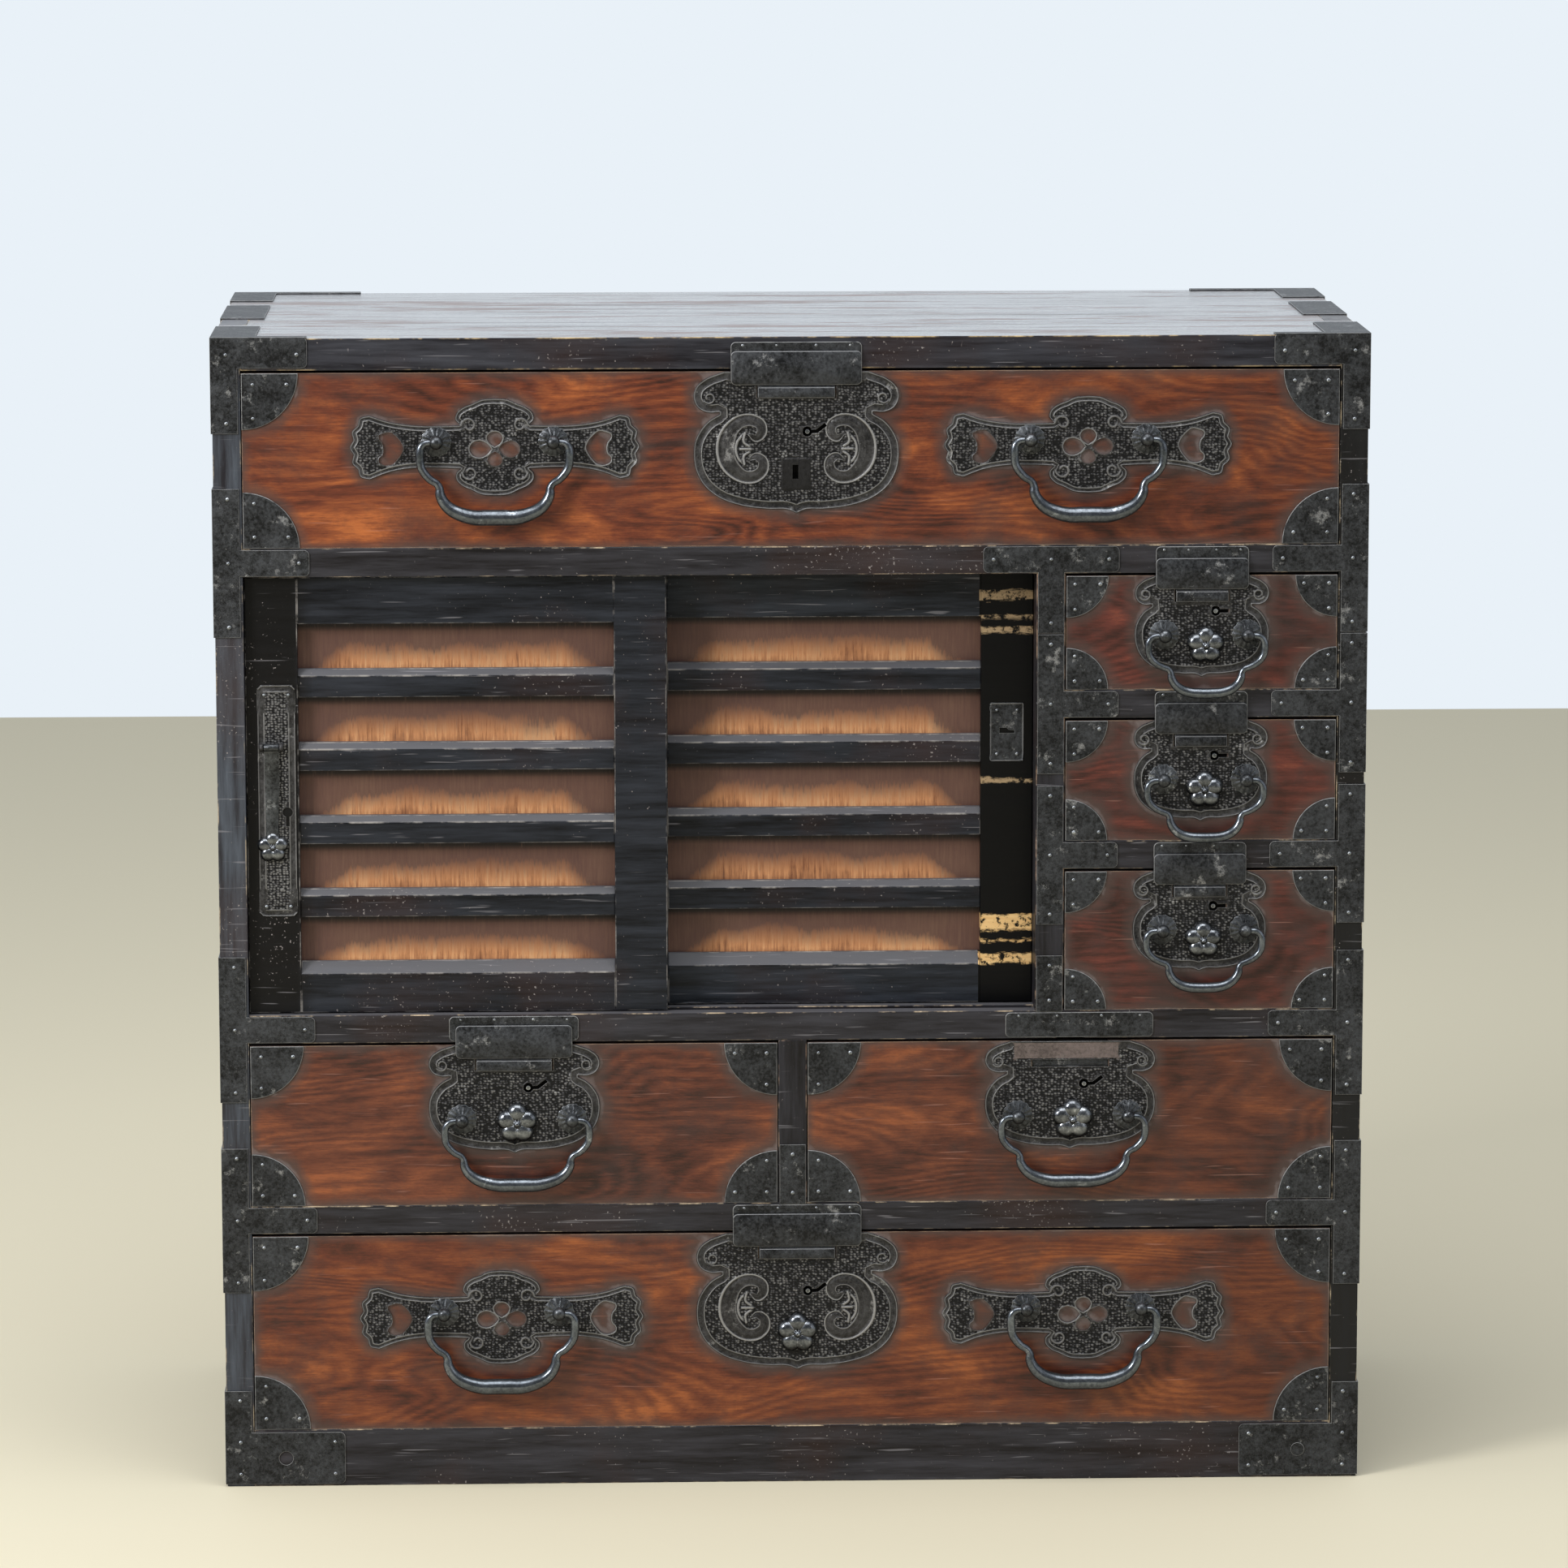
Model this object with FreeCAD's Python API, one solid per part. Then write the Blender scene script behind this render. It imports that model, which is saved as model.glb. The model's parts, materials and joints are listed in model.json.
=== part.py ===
import FreeCAD, Part
import math
import os

os.makedirs("parts", exist_ok=True)

Vec = FreeCAD.Vector

# A chest for clothes: board carcass with iron straps, seven lockable drawers and a bay with
# two sliding doors. X runs along the width, Z up from the floor, and the front faces -Y.
# "Proud" is a distance in front of the front edges of the carcass boards.

# Carcass boards
chest_width = 900.0
chest_depth = 405.0
side_thickness = 22.0
top_thickness = 25.0
shelf_thickness = 22.5
partition_thickness = 22.5
shelf_rail_depth = 45.0
dust_board_thickness = 12.0
housing_depth = 6.0
back_thickness = 8.0
back_rabbet = 10.0
back_floor_gap = 30.0
base_height = 46.0
base_rail_thickness = 22.0
bottom_board_thickness = 12.0
finger_count = 7
back_plank_count = 6

# Openings in the front, from the floor up
bottom_opening = 159.0
half_opening = 131.0
door_opening = 347.5
top_opening = 139.0
small_low_opening = 113.0
small_middle_opening = 97.5
small_opening_width = 214.0

# Drawer boards
drawer_gap = 0.8
drawer_top_gap = 2.0
seat_gap = 0.3
drawer_inset = 0.5
front_thickness = 20.0
drawer_wall = 11.0
drawer_back_wall = 10.0
drawer_bottom = 7.0
side_lap = 12.0
bottom_lap = 6.0
wall_drop = 4.0
drawer_tail_gap = 6.0
drawer_travel = 290.0

# Sliding doors
door_setback = 8.0
door_thickness = 22.0
door_spacing = 3.0
door_overlap = 40.0
door_stile = 41.0
door_top_rail = 37.0
door_bottom_rail = 40.0
door_bottom_bevel = 9.0
door_edge_gap = 0.8
door_side_gap = 0.4
tongue_thickness = 10.0
tongue_clearance = 0.6
top_tongue = 10.0
top_groove = 12.0
bottom_groove = 3.7
track_lip = 8.0
slat_height = 22.0
slat_setback = 1.5
slat_bevel = 5.0
slat_count = 4
panel_setback = 12.0
panel_thickness = 5.0
panel_tongue = 5.0

# Door lock plate, hasp and key plate
door_plate_width = 30.0
door_plate_height = 184.0
door_plate_edge = 9.0
door_plate_rise = 78.0
door_plate_thickness = 1.5
hasp_pin_drop = 49.0
hasp_pin_radius = 1.5
hasp_knuckle_radius = 3.3
hasp_knuckle_width = 12.0
hasp_ear_width = 3.0
hasp_bar_length = 72.0
hasp_bar_width = 11.5
hasp_bar_thickness = 2.6
hasp_flower_radius = 12.0
hasp_flower_height = 3.0
hasp_offset = 4.0
door_key_drop = 101.0
door_key_side = 7.0
key_plate_width = 27.0
key_plate_height = 47.0
key_plate_thickness = 1.0
key_plate_rise = 194.0
key_slot_length = 11.0
key_slot_height = 3.0

# Irons on the frame
iron_thickness = 1.2
iron_reveal = 2.0
iron_corner = 4.0
strap_arm = 52.0
strap_leg = 47.0
small_strap_leg = 44.0
strap_wrap = 42.0
corner_leg = 74.0
top_iron_width = 34.0
top_iron_wrap = 52.0
front_top_iron = 95.0
middle_top_iron_start = 165.0
middle_top_iron_end = 280.0
rear_top_iron = 80.0
rear_edge_strip = 70.0
rear_strip_width = 9.0
rear_wrap = 30.0
partition_arm = 43.0
base_plate_width = 94.0
base_strap_rise = 32.0
base_hole_radius = 5.5
wide_corner_radius = 44.0
half_corner_radius = 42.0
small_corner_radius = 33.0
nail_radius = 1.8
nail_height = 0.7

# Locks: the plate is nailed to the drawer front and the bolt slides up behind it
lock_plate_thickness = 2.0
bolt_gap = 0.3
bolt_travel = 8.0
bolt_thickness = 5.0
bolt_slack = 0.6
bolt_tongue_half = 10.0
bolt_stem_half = 5.0
bolt_top_gap = 1.0
mortise_slack = 1.0
tab_height = 10.0
tab_drop = 12.5
tab_side_gap = 1.2
tab_proud = 0.8
hasp_thickness = 1.6
hasp_edge_radius = 3.0
knob_height = 7.5
knob_stem_radius = 3.0
knob_slot_gap = 0.4
strike_height = 21.0
strike_margin = 5.0
odd_strike_shift = 7.0
odd_strike_extra = 15.0
key_ring_radius = 3.7
key_pin_radius = 1.7
key_slot_width = 1.9

big_lock_width = 160.0
big_lock_height = 111.0
big_hasp_width = 102.0
big_hasp_rise = 14.0
big_tab_width = 60.0
big_key_x = 8.5
big_key_drop = 47.0
big_knob_drop = 81.0
big_knob_radius = 15.5
big_lock_shift = 3.5

half_lock_width = 135.0
half_lock_height = 87.0
half_hasp_width = 92.0
half_hasp_rise = 14.0
half_tab_width = 59.5
half_key_x = 11.0
half_pull_shift = 2.0
half_key_drop = 34.5
half_knob_drop = 63.0
half_knob_radius = 15.8
half_post_drop = 59.5
half_post_spacing = 87.0
half_bail_width = 119.5
half_bail_drop = 57.0
half_bail_bar = 5.6

small_lock_width = 105.5
small_lock_height = 80.0
small_hasp_width = 73.0
small_hasp_rise = 12.0
small_tab_width = 41.0
small_key_x = 10.7
small_pull_shift = 3.0
small_key_drop = 28.0
small_knob_drop = 55.0
small_knob_radius = 14.5
small_post_drop = 46.5
small_post_spacing = 65.0
small_bail_width = 97.0
small_bail_drop = 49.5
small_bail_bar = 4.2

# Plates and pulls of the two wide drawers
pull_plate_width = 225.0
pull_plate_height = 76.0
pull_plate_x = 231.0
pull_plate_share = 0.575
pull_post_rise = 4.5
pull_post_spacing = 91.0
pull_bail_width = 122.5
pull_bail_drop = 65.0
pull_bail_bar = 6.4
pierced_drop = 1.5
pierced_side_reach = 19.5
pierced_side_half = 6.5
pierced_up_reach = 13.5
pierced_up_half = 6.0

# Posts that carry the pulls
pin_proud = 10.5
pin_radius = 2.5
pin_clearance = 0.08
post_eye_radius = 5.5
post_stem_radius = 4.0
post_base_radius = 12.0
post_base_height = 2.6
post_side_gap = 0.6

# Share tables. Lock plates: the right half of the outline, from the tip at the bottom; across is a
# share of the half width, up a share of the height.
lock_body_shares = [(0.0, 0.0), (0.07, 0.022), (0.28, 0.030), (0.54, 0.056), (0.76, 0.115), (0.90, 0.20),
                    (0.975, 0.30), (1.0, 0.42), (0.985, 0.51), (0.935, 0.585), (0.85, 0.655), (0.745, 0.70)]
lock_lobe_shares = [(0.745, 0.715), (0.86, 0.712), (0.955, 0.745), (1.0, 0.82), (0.975, 0.89),
                    (0.88, 0.95), (0.76, 0.985), (0.70, 1.0)]
# Pull plates: shares of the half width and of the half height, from the lowest point upward; a new
# run starts at each point where the edge has a cusp.
pull_plate_shares = [[(0.0, -1.0), (0.10, -0.97), (0.165, -0.88)],
                     [(0.165, -0.88), (0.23, -0.79), (0.268, -0.66), (0.268, -0.54), (0.235, -0.44)],
                     [(0.235, -0.44), (0.40, -0.42), (0.58, -0.43), (0.73, -0.51), (0.865, -0.66)],
                     [(0.865, -0.66), (0.93, -0.60), (0.945, -0.45)],
                     [(0.945, -0.45), (0.985, -0.32), (0.975, -0.15)],
                     [(0.975, -0.15), (1.0, 0.0), (0.975, 0.15)],
                     [(0.975, 0.15), (0.985, 0.32), (0.945, 0.45)],
                     [(0.945, 0.45), (0.93, 0.60), (0.865, 0.66)],
                     [(0.865, 0.66), (0.73, 0.53), (0.55, 0.45), (0.38, 0.44), (0.235, 0.45)],
                     [(0.235, 0.45), (0.272, 0.57), (0.262, 0.70), (0.215, 0.82), (0.155, 0.89)],
                     [(0.155, 0.89), (0.09, 0.975), (0.0, 1.0)]]
# Holes in the pull plates. The bean near each end is in shares of the half width and half height; a
# petal of the middle hole runs along its reach, with the distance to its edge as a share of its half.
bean_shares = [(0.773, 0.290), (0.720, 0.318), (0.684, 0.240), (0.649, 0.120), (0.631, -0.020),
               (0.649, -0.155), (0.676, -0.260), (0.702, -0.340), (0.764, -0.366), (0.800, -0.300),
               (0.800, -0.220), (0.778, -0.155), (0.769, -0.024), (0.782, 0.108), (0.800, 0.174),
               (0.800, 0.253)]
petal_hole_shares = [(0.13, 0.0), (0.35, 0.72), (0.66, 1.0), (0.92, 0.62), (1.0, 0.0)]
# Pulls: across as a share of the half width, down as a share of the drop, thickness as a share of
# the bar's radius at the middle.
bail_limb_shares = [(1.0, 0.24, 0.52), (0.985, 0.33, 0.52), (0.94, 0.41, 0.52), (0.865, 0.49, 0.50),
                    (0.765, 0.56, 0.47), (0.745, 0.60, 0.50), (0.735, 0.69, 0.62), (0.69, 0.79, 0.70),
                    (0.59, 0.89, 0.80), (0.44, 0.96, 0.88), (0.26, 1.0, 0.96), (0.10, 1.0, 1.0)]
small_bail_limb_shares = [(1.0, 0.22, 0.68), (0.985, 0.32, 0.68), (0.935, 0.41, 0.66), (0.85, 0.485, 0.64),
                          (0.74, 0.545, 0.60), (0.645, 0.585, 0.58), (0.615, 0.63, 0.62),
                          (0.60, 0.72, 0.76), (0.545, 0.83, 0.84), (0.43, 0.93, 0.90),
                          (0.27, 0.985, 0.96), (0.09, 1.0, 1.0)]
pin_end_share = 0.82
corner_nail_shares = [(0.20, 0.20), (0.80, 0.20), (0.20, 0.80)]
petal_radius_share = 0.46
petal_ring_share = 0.56
petal_height_share = 0.75
petal_count = 5

# Levels and places that follow from the sizes above
bottom_floor = base_height
lower_shelf_z = bottom_floor + bottom_opening
half_floor = lower_shelf_z + shelf_thickness
middle_shelf_z = half_floor + half_opening
door_floor = middle_shelf_z + shelf_thickness
small_low_top = door_floor + small_low_opening
small_middle_floor = small_low_top + shelf_thickness
small_middle_top = small_middle_floor + small_middle_opening
small_high_floor = small_middle_top + shelf_thickness
upper_shelf_z = door_floor + door_opening
top_floor = upper_shelf_z + shelf_thickness
top_board_z = top_floor + top_opening
chest_height = top_board_z + top_thickness

outer_x = chest_width / 2
inner_x = outer_x - side_thickness
partition_right = inner_x - small_opening_width
partition_left = partition_right - partition_thickness
door_bay_width = partition_left + inner_x
half_partition_x = partition_thickness / 2

proud_most = pin_proud + max(pull_bail_bar, half_bail_bar, small_bail_bar, post_eye_radius)
front_y = (proud_most - chest_depth - iron_thickness) / 2
rear_y = front_y + chest_depth
back_y = rear_y - back_thickness
track_rail_depth = door_setback + 2 * door_thickness + door_spacing + track_lip
plate_proud = lock_plate_thickness - drawer_inset
overrun = side_thickness


def block(x0, x1, y0, y1, z0, z1):
    """A board between two corners."""
    return Part.makeBox(x1 - x0, y1 - y0, z1 - z0, Vec(x0, y0, z0))


def slab(x0, x1, proud0, proud1, z0, z1):
    """A board whose depth is given as distances in front of the carcass."""
    return block(x0, x1, front_y - proud1, front_y - proud0, z0, z1)


def rounded_slab(x0, x1, proud0, proud1, z0, z1, radius):
    """A slab whose four corners, seen from the front, are round."""
    shape = slab(x0, x1, proud0, proud1, z0, z1)
    along_y = [e for e in shape.Edges if e.BoundBox.YLength > max(e.BoundBox.XLength, e.BoundBox.ZLength)]
    return shape.makeFillet(radius, along_y)


def cylinder(x, z, proud0, proud1, radius):
    """A round bar that stands out of the front."""
    return Part.makeCylinder(radius, proud1 - proud0, Vec(x, front_y - proud0, z), Vec(0, -1, 0))


def fused(shapes):
    """One solid out of pieces that are forged or cut from one."""
    return shapes[0].multiFuse(shapes[1:]).removeSplitter()


def save(name, shapes):
    """Write one named piece, or one group of separate pieces."""
    shape = shapes[0] if len(shapes) == 1 else Part.Compound(shapes)
    shape.exportStep("parts/" + name + ".step")


def outline_plate(runs, x, z, half_width, height, proud0, proud1):
    """A plate with a left and a right half alike; each run of shares is one smooth curve."""
    edges = []
    for side in (1, -1):
        for run in runs:
            points = [Vec(x + side * across * half_width, front_y - proud0, z + up * height)
                      for across, up in run]
            curve = Part.BSplineCurve()
            curve.interpolate(points)
            edges.append(curve.toShape())
        for (end, start) in zip(runs[:-1], runs[1:]):
            a, b = [Vec(x + side * across * half_width, front_y - proud0, z + up * height)
                    for across, up in (end[-1], start[0])]
            if a.distanceToPoint(b) > 0:
                edges.append(Part.makeLine(a, b))
    gap_ends = [Vec(x + side * runs[-1][-1][0] * half_width, front_y - proud0,
                    z + runs[-1][-1][1] * height) for side in (1, -1)]
    if gap_ends[0].distanceToPoint(gap_ends[1]) > 0:
        edges.append(Part.makeLine(gap_ends[0], gap_ends[1]))
    wire = Part.Wire(Part.__sortEdges__(edges))
    return Part.Face(wire).extrude(Vec(0, proud0 - proud1, 0))


def nail_heads(places, proud):
    """Nail heads seated on a plate whose face lies at the given distance proud."""
    heads = []
    for x, z in places:
        heads.append(Part.makeCone(nail_radius, nail_radius / 2, nail_height,
                                   Vec(x, front_y - proud, z), Vec(0, -1, 0)))
    return heads


# Carcass


def side_panel(side):
    """A side board with box-joint fingers at the top and housings for the shelves."""
    x0, x1 = sorted((side * inner_x, side * outer_x))
    panel = block(x0, x1, front_y, rear_y, 0, chest_height)
    finger = chest_depth / finger_count
    cuts = []
    for i in range(1, finger_count, 2):
        y = front_y + i * finger
        cuts.append(block(x0 - overrun, x1 + overrun, y, y + finger, top_board_z, chest_height + overrun))
    rabbet_x = sorted((side * (inner_x - overrun), side * (inner_x + back_rabbet)))
    cuts.append(block(rabbet_x[0], rabbet_x[1], back_y, rear_y + overrun, back_floor_gap, top_board_z))
    housing_x = sorted((side * (inner_x - overrun), side * (inner_x + housing_depth)))
    for top, depth in ((lower_shelf_z + shelf_thickness, shelf_rail_depth),
                       (middle_shelf_z + shelf_thickness, track_rail_depth),
                       (upper_shelf_z + shelf_thickness, track_rail_depth)):
        cuts.append(block(housing_x[0], housing_x[1], front_y + depth, back_y,
                          top - dust_board_thickness, top))
    cuts.append(block(housing_x[0], housing_x[1], front_y + base_rail_thickness, back_y,
                      base_height - bottom_board_thickness, base_height))
    if side > 0:
        for top in (small_low_top + shelf_thickness, small_middle_top + shelf_thickness):
            cuts.append(block(housing_x[0], housing_x[1], front_y + shelf_rail_depth, back_y,
                              top - dust_board_thickness, top))
    return panel.cut(cuts)


def top_board():
    """The top board, whose tongues fill the gaps between the side boards' fingers."""
    pieces = [block(-inner_x, inner_x, front_y, rear_y, top_board_z, chest_height)]
    finger = chest_depth / finger_count
    for i in range(1, finger_count, 2):
        y = front_y + i * finger
        pieces.append(block(-outer_x, -inner_x, y, y + finger, top_board_z, chest_height))
        pieces.append(block(inner_x, outer_x, y, y + finger, top_board_z, chest_height))
    board = fused(pieces)
    return board.cut(bolt_mortise(big_lock_shift, top_board_z))


def bolt_mortise(x, opening_top):
    """The hole above a drawer that takes the lock bolt when it is up."""
    half = bolt_tongue_half + mortise_slack
    back = drawer_inset + bolt_gap + bolt_thickness + mortise_slack
    depth = bolt_travel - bolt_top_gap - drawer_top_gap + mortise_slack
    return slab(x - half, x + half, -back, -drawer_inset - bolt_gap + mortise_slack,
                opening_top - overrun, opening_top + depth)


def shelf_boards(x0, x1, z, depth, mortises):
    """A shelf: a thick front rail, and behind it a thinner board housed at both ends."""
    top = z + shelf_thickness
    rail = block(x0, x1, front_y, front_y + depth, z, top)
    for x in mortises:
        rail = rail.cut(bolt_mortise(x, z))
    board = block(x0 - housing_depth, x1 + housing_depth, front_y + depth, back_y,
                  top - dust_board_thickness, top)
    return [rail, board]


def track_grooves(z, depth):
    """The two grooves that the doors run in, cut up or down from a level."""
    cuts = []
    for y in door_faces():
        start = y + (door_thickness - tongue_thickness) / 2 - tongue_clearance
        cuts.append(block(-inner_x, partition_left, start, start + tongue_thickness + 2 * tongue_clearance,
                          min(z, z + depth), max(z, z + depth)))
    return cuts


def door_faces():
    """Where the front faces of the left and the right door lie."""
    left = front_y + door_setback
    return left, left + door_thickness + door_spacing


def partition(x0, x1, z0, z1, depth, housings):
    """An upright board between two shelves, taller behind the rails, with housings on its right."""
    step = shelf_thickness - dust_board_thickness
    board = fused([block(x0, x1, front_y, front_y + depth, z0, z1),
                   block(x0, x1, front_y + depth, back_y, z0, z1 + step)])
    for top in housings:
        board = board.cut(block(x1 - housing_depth, x1 + overrun, front_y + shelf_rail_depth,
                                back_y, top - dust_board_thickness, top))
    return board


def build_carcass():
    """All boards of the carcass."""
    save("left_side_panel", [side_panel(-1)])
    save("right_side_panel", [side_panel(1)])
    save("top_board", [top_board()])
    board_z = base_height - bottom_board_thickness
    save("bottom_board", [block(-inner_x - housing_depth, inner_x + housing_depth,
                                front_y + base_rail_thickness, back_y, board_z, base_height)])
    save("base_rails", [block(-inner_x, inner_x, front_y, front_y + base_rail_thickness, 0, base_height),
                        block(-inner_x, inner_x, back_y - base_rail_thickness, back_y, 0, board_z)])

    plank_width = 2 * (inner_x + back_rabbet) / back_plank_count
    planks = []
    for i in range(back_plank_count):
        x = -inner_x - back_rabbet + i * plank_width
        planks.append(block(x, x + plank_width, back_y, rear_y, back_floor_gap, top_board_z))
    save("back_panel", planks)

    lower = shelf_boards(-inner_x, inner_x, lower_shelf_z, shelf_rail_depth, [big_lock_shift])
    save("lower_shelf", lower)
    middle = shelf_boards(-inner_x, inner_x, middle_shelf_z, track_rail_depth,
                          [bay_centre(-inner_x, -half_partition_x), bay_centre(half_partition_x, inner_x)])
    middle[0] = middle[0].cut(track_grooves(door_floor, -bottom_groove))
    save("middle_shelf", middle)
    upper = shelf_boards(-inner_x, inner_x, upper_shelf_z, track_rail_depth,
                         [bay_centre(partition_right, inner_x)])
    upper[0] = upper[0].cut(track_grooves(upper_shelf_z, top_groove))
    save("upper_shelf", upper)

    save("drawer_partition", [partition(partition_left, partition_right, door_floor, upper_shelf_z,
                                        track_rail_depth, [small_middle_floor, small_high_floor])])
    save("half_drawer_partition", [partition(-half_partition_x, half_partition_x, half_floor,
                                             middle_shelf_z, track_rail_depth, [])])
    small = []
    for z in (small_low_top, small_middle_top):
        small += shelf_boards(partition_right, inner_x, z, shelf_rail_depth,
                              [bay_centre(partition_right, inner_x)])
    save("small_drawer_shelves", small)


def bay_centre(x0, x1):
    """The middle of an opening."""
    return (x0 + x1) / 2


# Irons on the frame


def stile_strap(side, z0, z1, arm_z0, arm_z1):
    """A strap on a side board's front edge, with an arm along a rail and a wrap round the side."""
    edge = side * (outer_x + iron_thickness)
    inner = side * (inner_x + iron_reveal)
    arm_end = side * (inner_x - strap_arm)
    leg_x = sorted((edge, inner))
    arm_x = sorted((edge, arm_end))
    wrap_x = sorted((edge, side * outer_x))
    leg = slab(leg_x[0], leg_x[1], 0, iron_thickness, z0, z1)
    arm = rounded_slab(arm_x[0], arm_x[1], 0, iron_thickness, arm_z0, arm_z1, iron_corner)
    wrap = block(wrap_x[0], wrap_x[1], front_y - iron_thickness, front_y + strap_wrap, z0, z1)
    nail_x = side * (outer_x - side_thickness / 2)
    edge_in = 2 * iron_corner
    places = [(nail_x, z0 + edge_in), (nail_x, z1 - edge_in),
              (arm_end + side * edge_in, (arm_z0 + arm_z1) / 2), (nail_x, (arm_z0 + arm_z1) / 2)]
    return [fused([leg, arm, wrap])] + nail_heads(places, iron_thickness)


def top_corner_iron(side):
    """The iron on a front top corner: front, side and top faces in one piece."""
    top = chest_height + iron_thickness
    edge = side * (outer_x + iron_thickness)
    arm_end = side * (inner_x - strap_arm)
    arm_x = sorted((edge, arm_end))
    leg_x = sorted((edge, side * (inner_x + iron_reveal)))
    wrap_x = sorted((edge, side * outer_x))
    top_x = sorted((edge, side * (outer_x - top_iron_width)))
    arm = rounded_slab(arm_x[0], arm_x[1], 0, iron_thickness, top_board_z + iron_reveal, top, iron_corner)
    square = slab(leg_x[0], leg_x[1], 0, iron_thickness, top_board_z, top)
    leg = slab(leg_x[0], leg_x[1], 0, iron_thickness, chest_height - corner_leg, top)
    wrap = block(wrap_x[0], wrap_x[1], front_y - iron_thickness, front_y + strap_wrap,
                 chest_height - corner_leg, top)
    over = block(top_x[0], top_x[1], front_y - iron_thickness, front_y + front_top_iron,
                 chest_height, top)
    down = block(wrap_x[0], wrap_x[1], front_y, front_y + front_top_iron,
                 chest_height - top_iron_wrap, top)
    lip = block(arm_x[0], arm_x[1], front_y - iron_thickness, front_y + rear_strip_width,
                chest_height, top)
    nail_x = side * (outer_x - side_thickness / 2)
    places = [(nail_x, chest_height - corner_leg + 2 * iron_corner),
              (nail_x, chest_height - top_thickness / 2),
              (arm_end + side * 2 * iron_corner, chest_height - top_thickness / 2)]
    return [fused([leg, square, arm, wrap, over, down, lip])] + nail_heads(places, iron_thickness)


def top_side_irons(side):
    """The strap and the rear corner iron over a side board's top edge."""
    top = chest_height + iron_thickness
    edge = side * (outer_x + iron_thickness)
    wrap_x = sorted((edge, side * outer_x))
    top_x = sorted((edge, side * (outer_x - top_iron_width)))
    strip_x = sorted((edge, side * (outer_x - top_iron_width - rear_edge_strip)))
    y0 = front_y + middle_top_iron_start
    y1 = front_y + middle_top_iron_end
    middle = fused([block(top_x[0], top_x[1], y0, y1, chest_height, top),
                    block(wrap_x[0], wrap_x[1], y0, y1, chest_height - top_iron_wrap, top)])
    y0 = rear_y - rear_top_iron
    y1 = rear_y + iron_thickness
    rear = fused([block(top_x[0], top_x[1], y0, y1, chest_height, top),
                  block(wrap_x[0], wrap_x[1], y0, y1, chest_height - top_iron_wrap, top),
                  block(strip_x[0], strip_x[1], rear_y - rear_strip_width, y1, chest_height, top),
                  block(strip_x[0], strip_x[1], rear_y, y1, chest_height - rear_wrap, top)])
    return [middle, rear]


def base_iron(side):
    """The plate on the foot of a side board, with a strap above it and a wrap round the side."""
    edge = side * (outer_x + iron_thickness)
    plate_x = sorted((edge, side * (outer_x - base_plate_width)))
    leg_x = sorted((edge, side * (inner_x + iron_reveal)))
    wrap_x = sorted((edge, side * outer_x))
    top = base_height - iron_reveal
    plate = rounded_slab(plate_x[0], plate_x[1], 0, iron_thickness, iron_reveal, top, iron_corner)
    leg = slab(leg_x[0], leg_x[1], 0, iron_thickness, iron_reveal, base_height + base_strap_rise)
    wrap = block(wrap_x[0], wrap_x[1], front_y - iron_thickness, front_y + strap_wrap,
                 iron_reveal, base_height + base_strap_rise)
    iron = fused([plate, leg, wrap])
    hole_x = side * (outer_x - base_plate_width / 2)
    if side < 0:
        iron = iron.cut(cylinder(hole_x, base_height / 2, -overrun, overrun, base_hole_radius))
    near, far = outer_x - side_thickness / 2, outer_x - base_plate_width + 2 * iron_corner
    low, high = iron_reveal + 2 * iron_corner, top - 2 * iron_corner
    places = [(side * near, low), (side * near, high), (side * far, low), (side * far, high),
              (side * near, base_height + base_strap_rise - 2 * iron_corner)]
    heads = nail_heads(places, iron_thickness)
    if side > 0:
        heads.append(cylinder(hole_x, base_height / 2, iron_thickness,
                              iron_thickness + nail_height, base_hole_radius))
    return [iron] + heads


def partition_straps():
    """Straps on the front edge of the partition beside the small drawers."""
    x0 = partition_left + iron_reveal / 2
    x1 = partition_right - iron_reveal / 2
    middle = bay_centre(x0, x1)
    edge_in = 2 * iron_corner
    irons = [fused([slab(x0, x1, 0, iron_thickness, upper_shelf_z - strap_leg, upper_shelf_z + iron_corner),
                    rounded_slab(x0 - partition_arm, x1 + partition_arm, 0, iron_thickness,
                                 upper_shelf_z + iron_reveal / 2,
                                 top_floor - iron_reveal / 2, iron_corner)])]
    places = [(middle, upper_shelf_z - strap_leg + edge_in), (middle, upper_shelf_z + shelf_thickness / 2),
              (x1 + partition_arm - edge_in, upper_shelf_z + shelf_thickness / 2),
              (x0 - partition_arm + edge_in, upper_shelf_z + shelf_thickness / 2)]
    for z in (small_middle_top, small_low_top):
        top = z + shelf_thickness
        irons.append(fused([slab(x0, x1, 0, iron_thickness, z - small_strap_leg, top + small_strap_leg),
                            rounded_slab(x0, x1 + partition_arm, 0, iron_thickness,
                                         z + iron_reveal / 2, top - iron_reveal / 2, iron_corner)]))
        places += [(middle, z - small_strap_leg + edge_in), (middle, top + small_strap_leg - edge_in),
                   (middle, z + shelf_thickness / 2),
                   (x1 + partition_arm - edge_in, z + shelf_thickness / 2)]
    irons.append(slab(x0, x1, 0, iron_thickness, door_floor - iron_reveal / 2, door_floor + small_strap_leg))
    places += [(middle, door_floor + edge_in), (middle, door_floor + small_strap_leg - edge_in)]
    hx = half_partition_x - iron_reveal / 2
    irons.append(slab(-hx, hx, 0, iron_thickness, half_floor - iron_reveal / 2, half_floor + strap_leg))
    places += [(0, half_floor + edge_in), (0, half_floor + strap_leg - edge_in)]
    return irons + nail_heads(places, iron_thickness)


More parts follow.
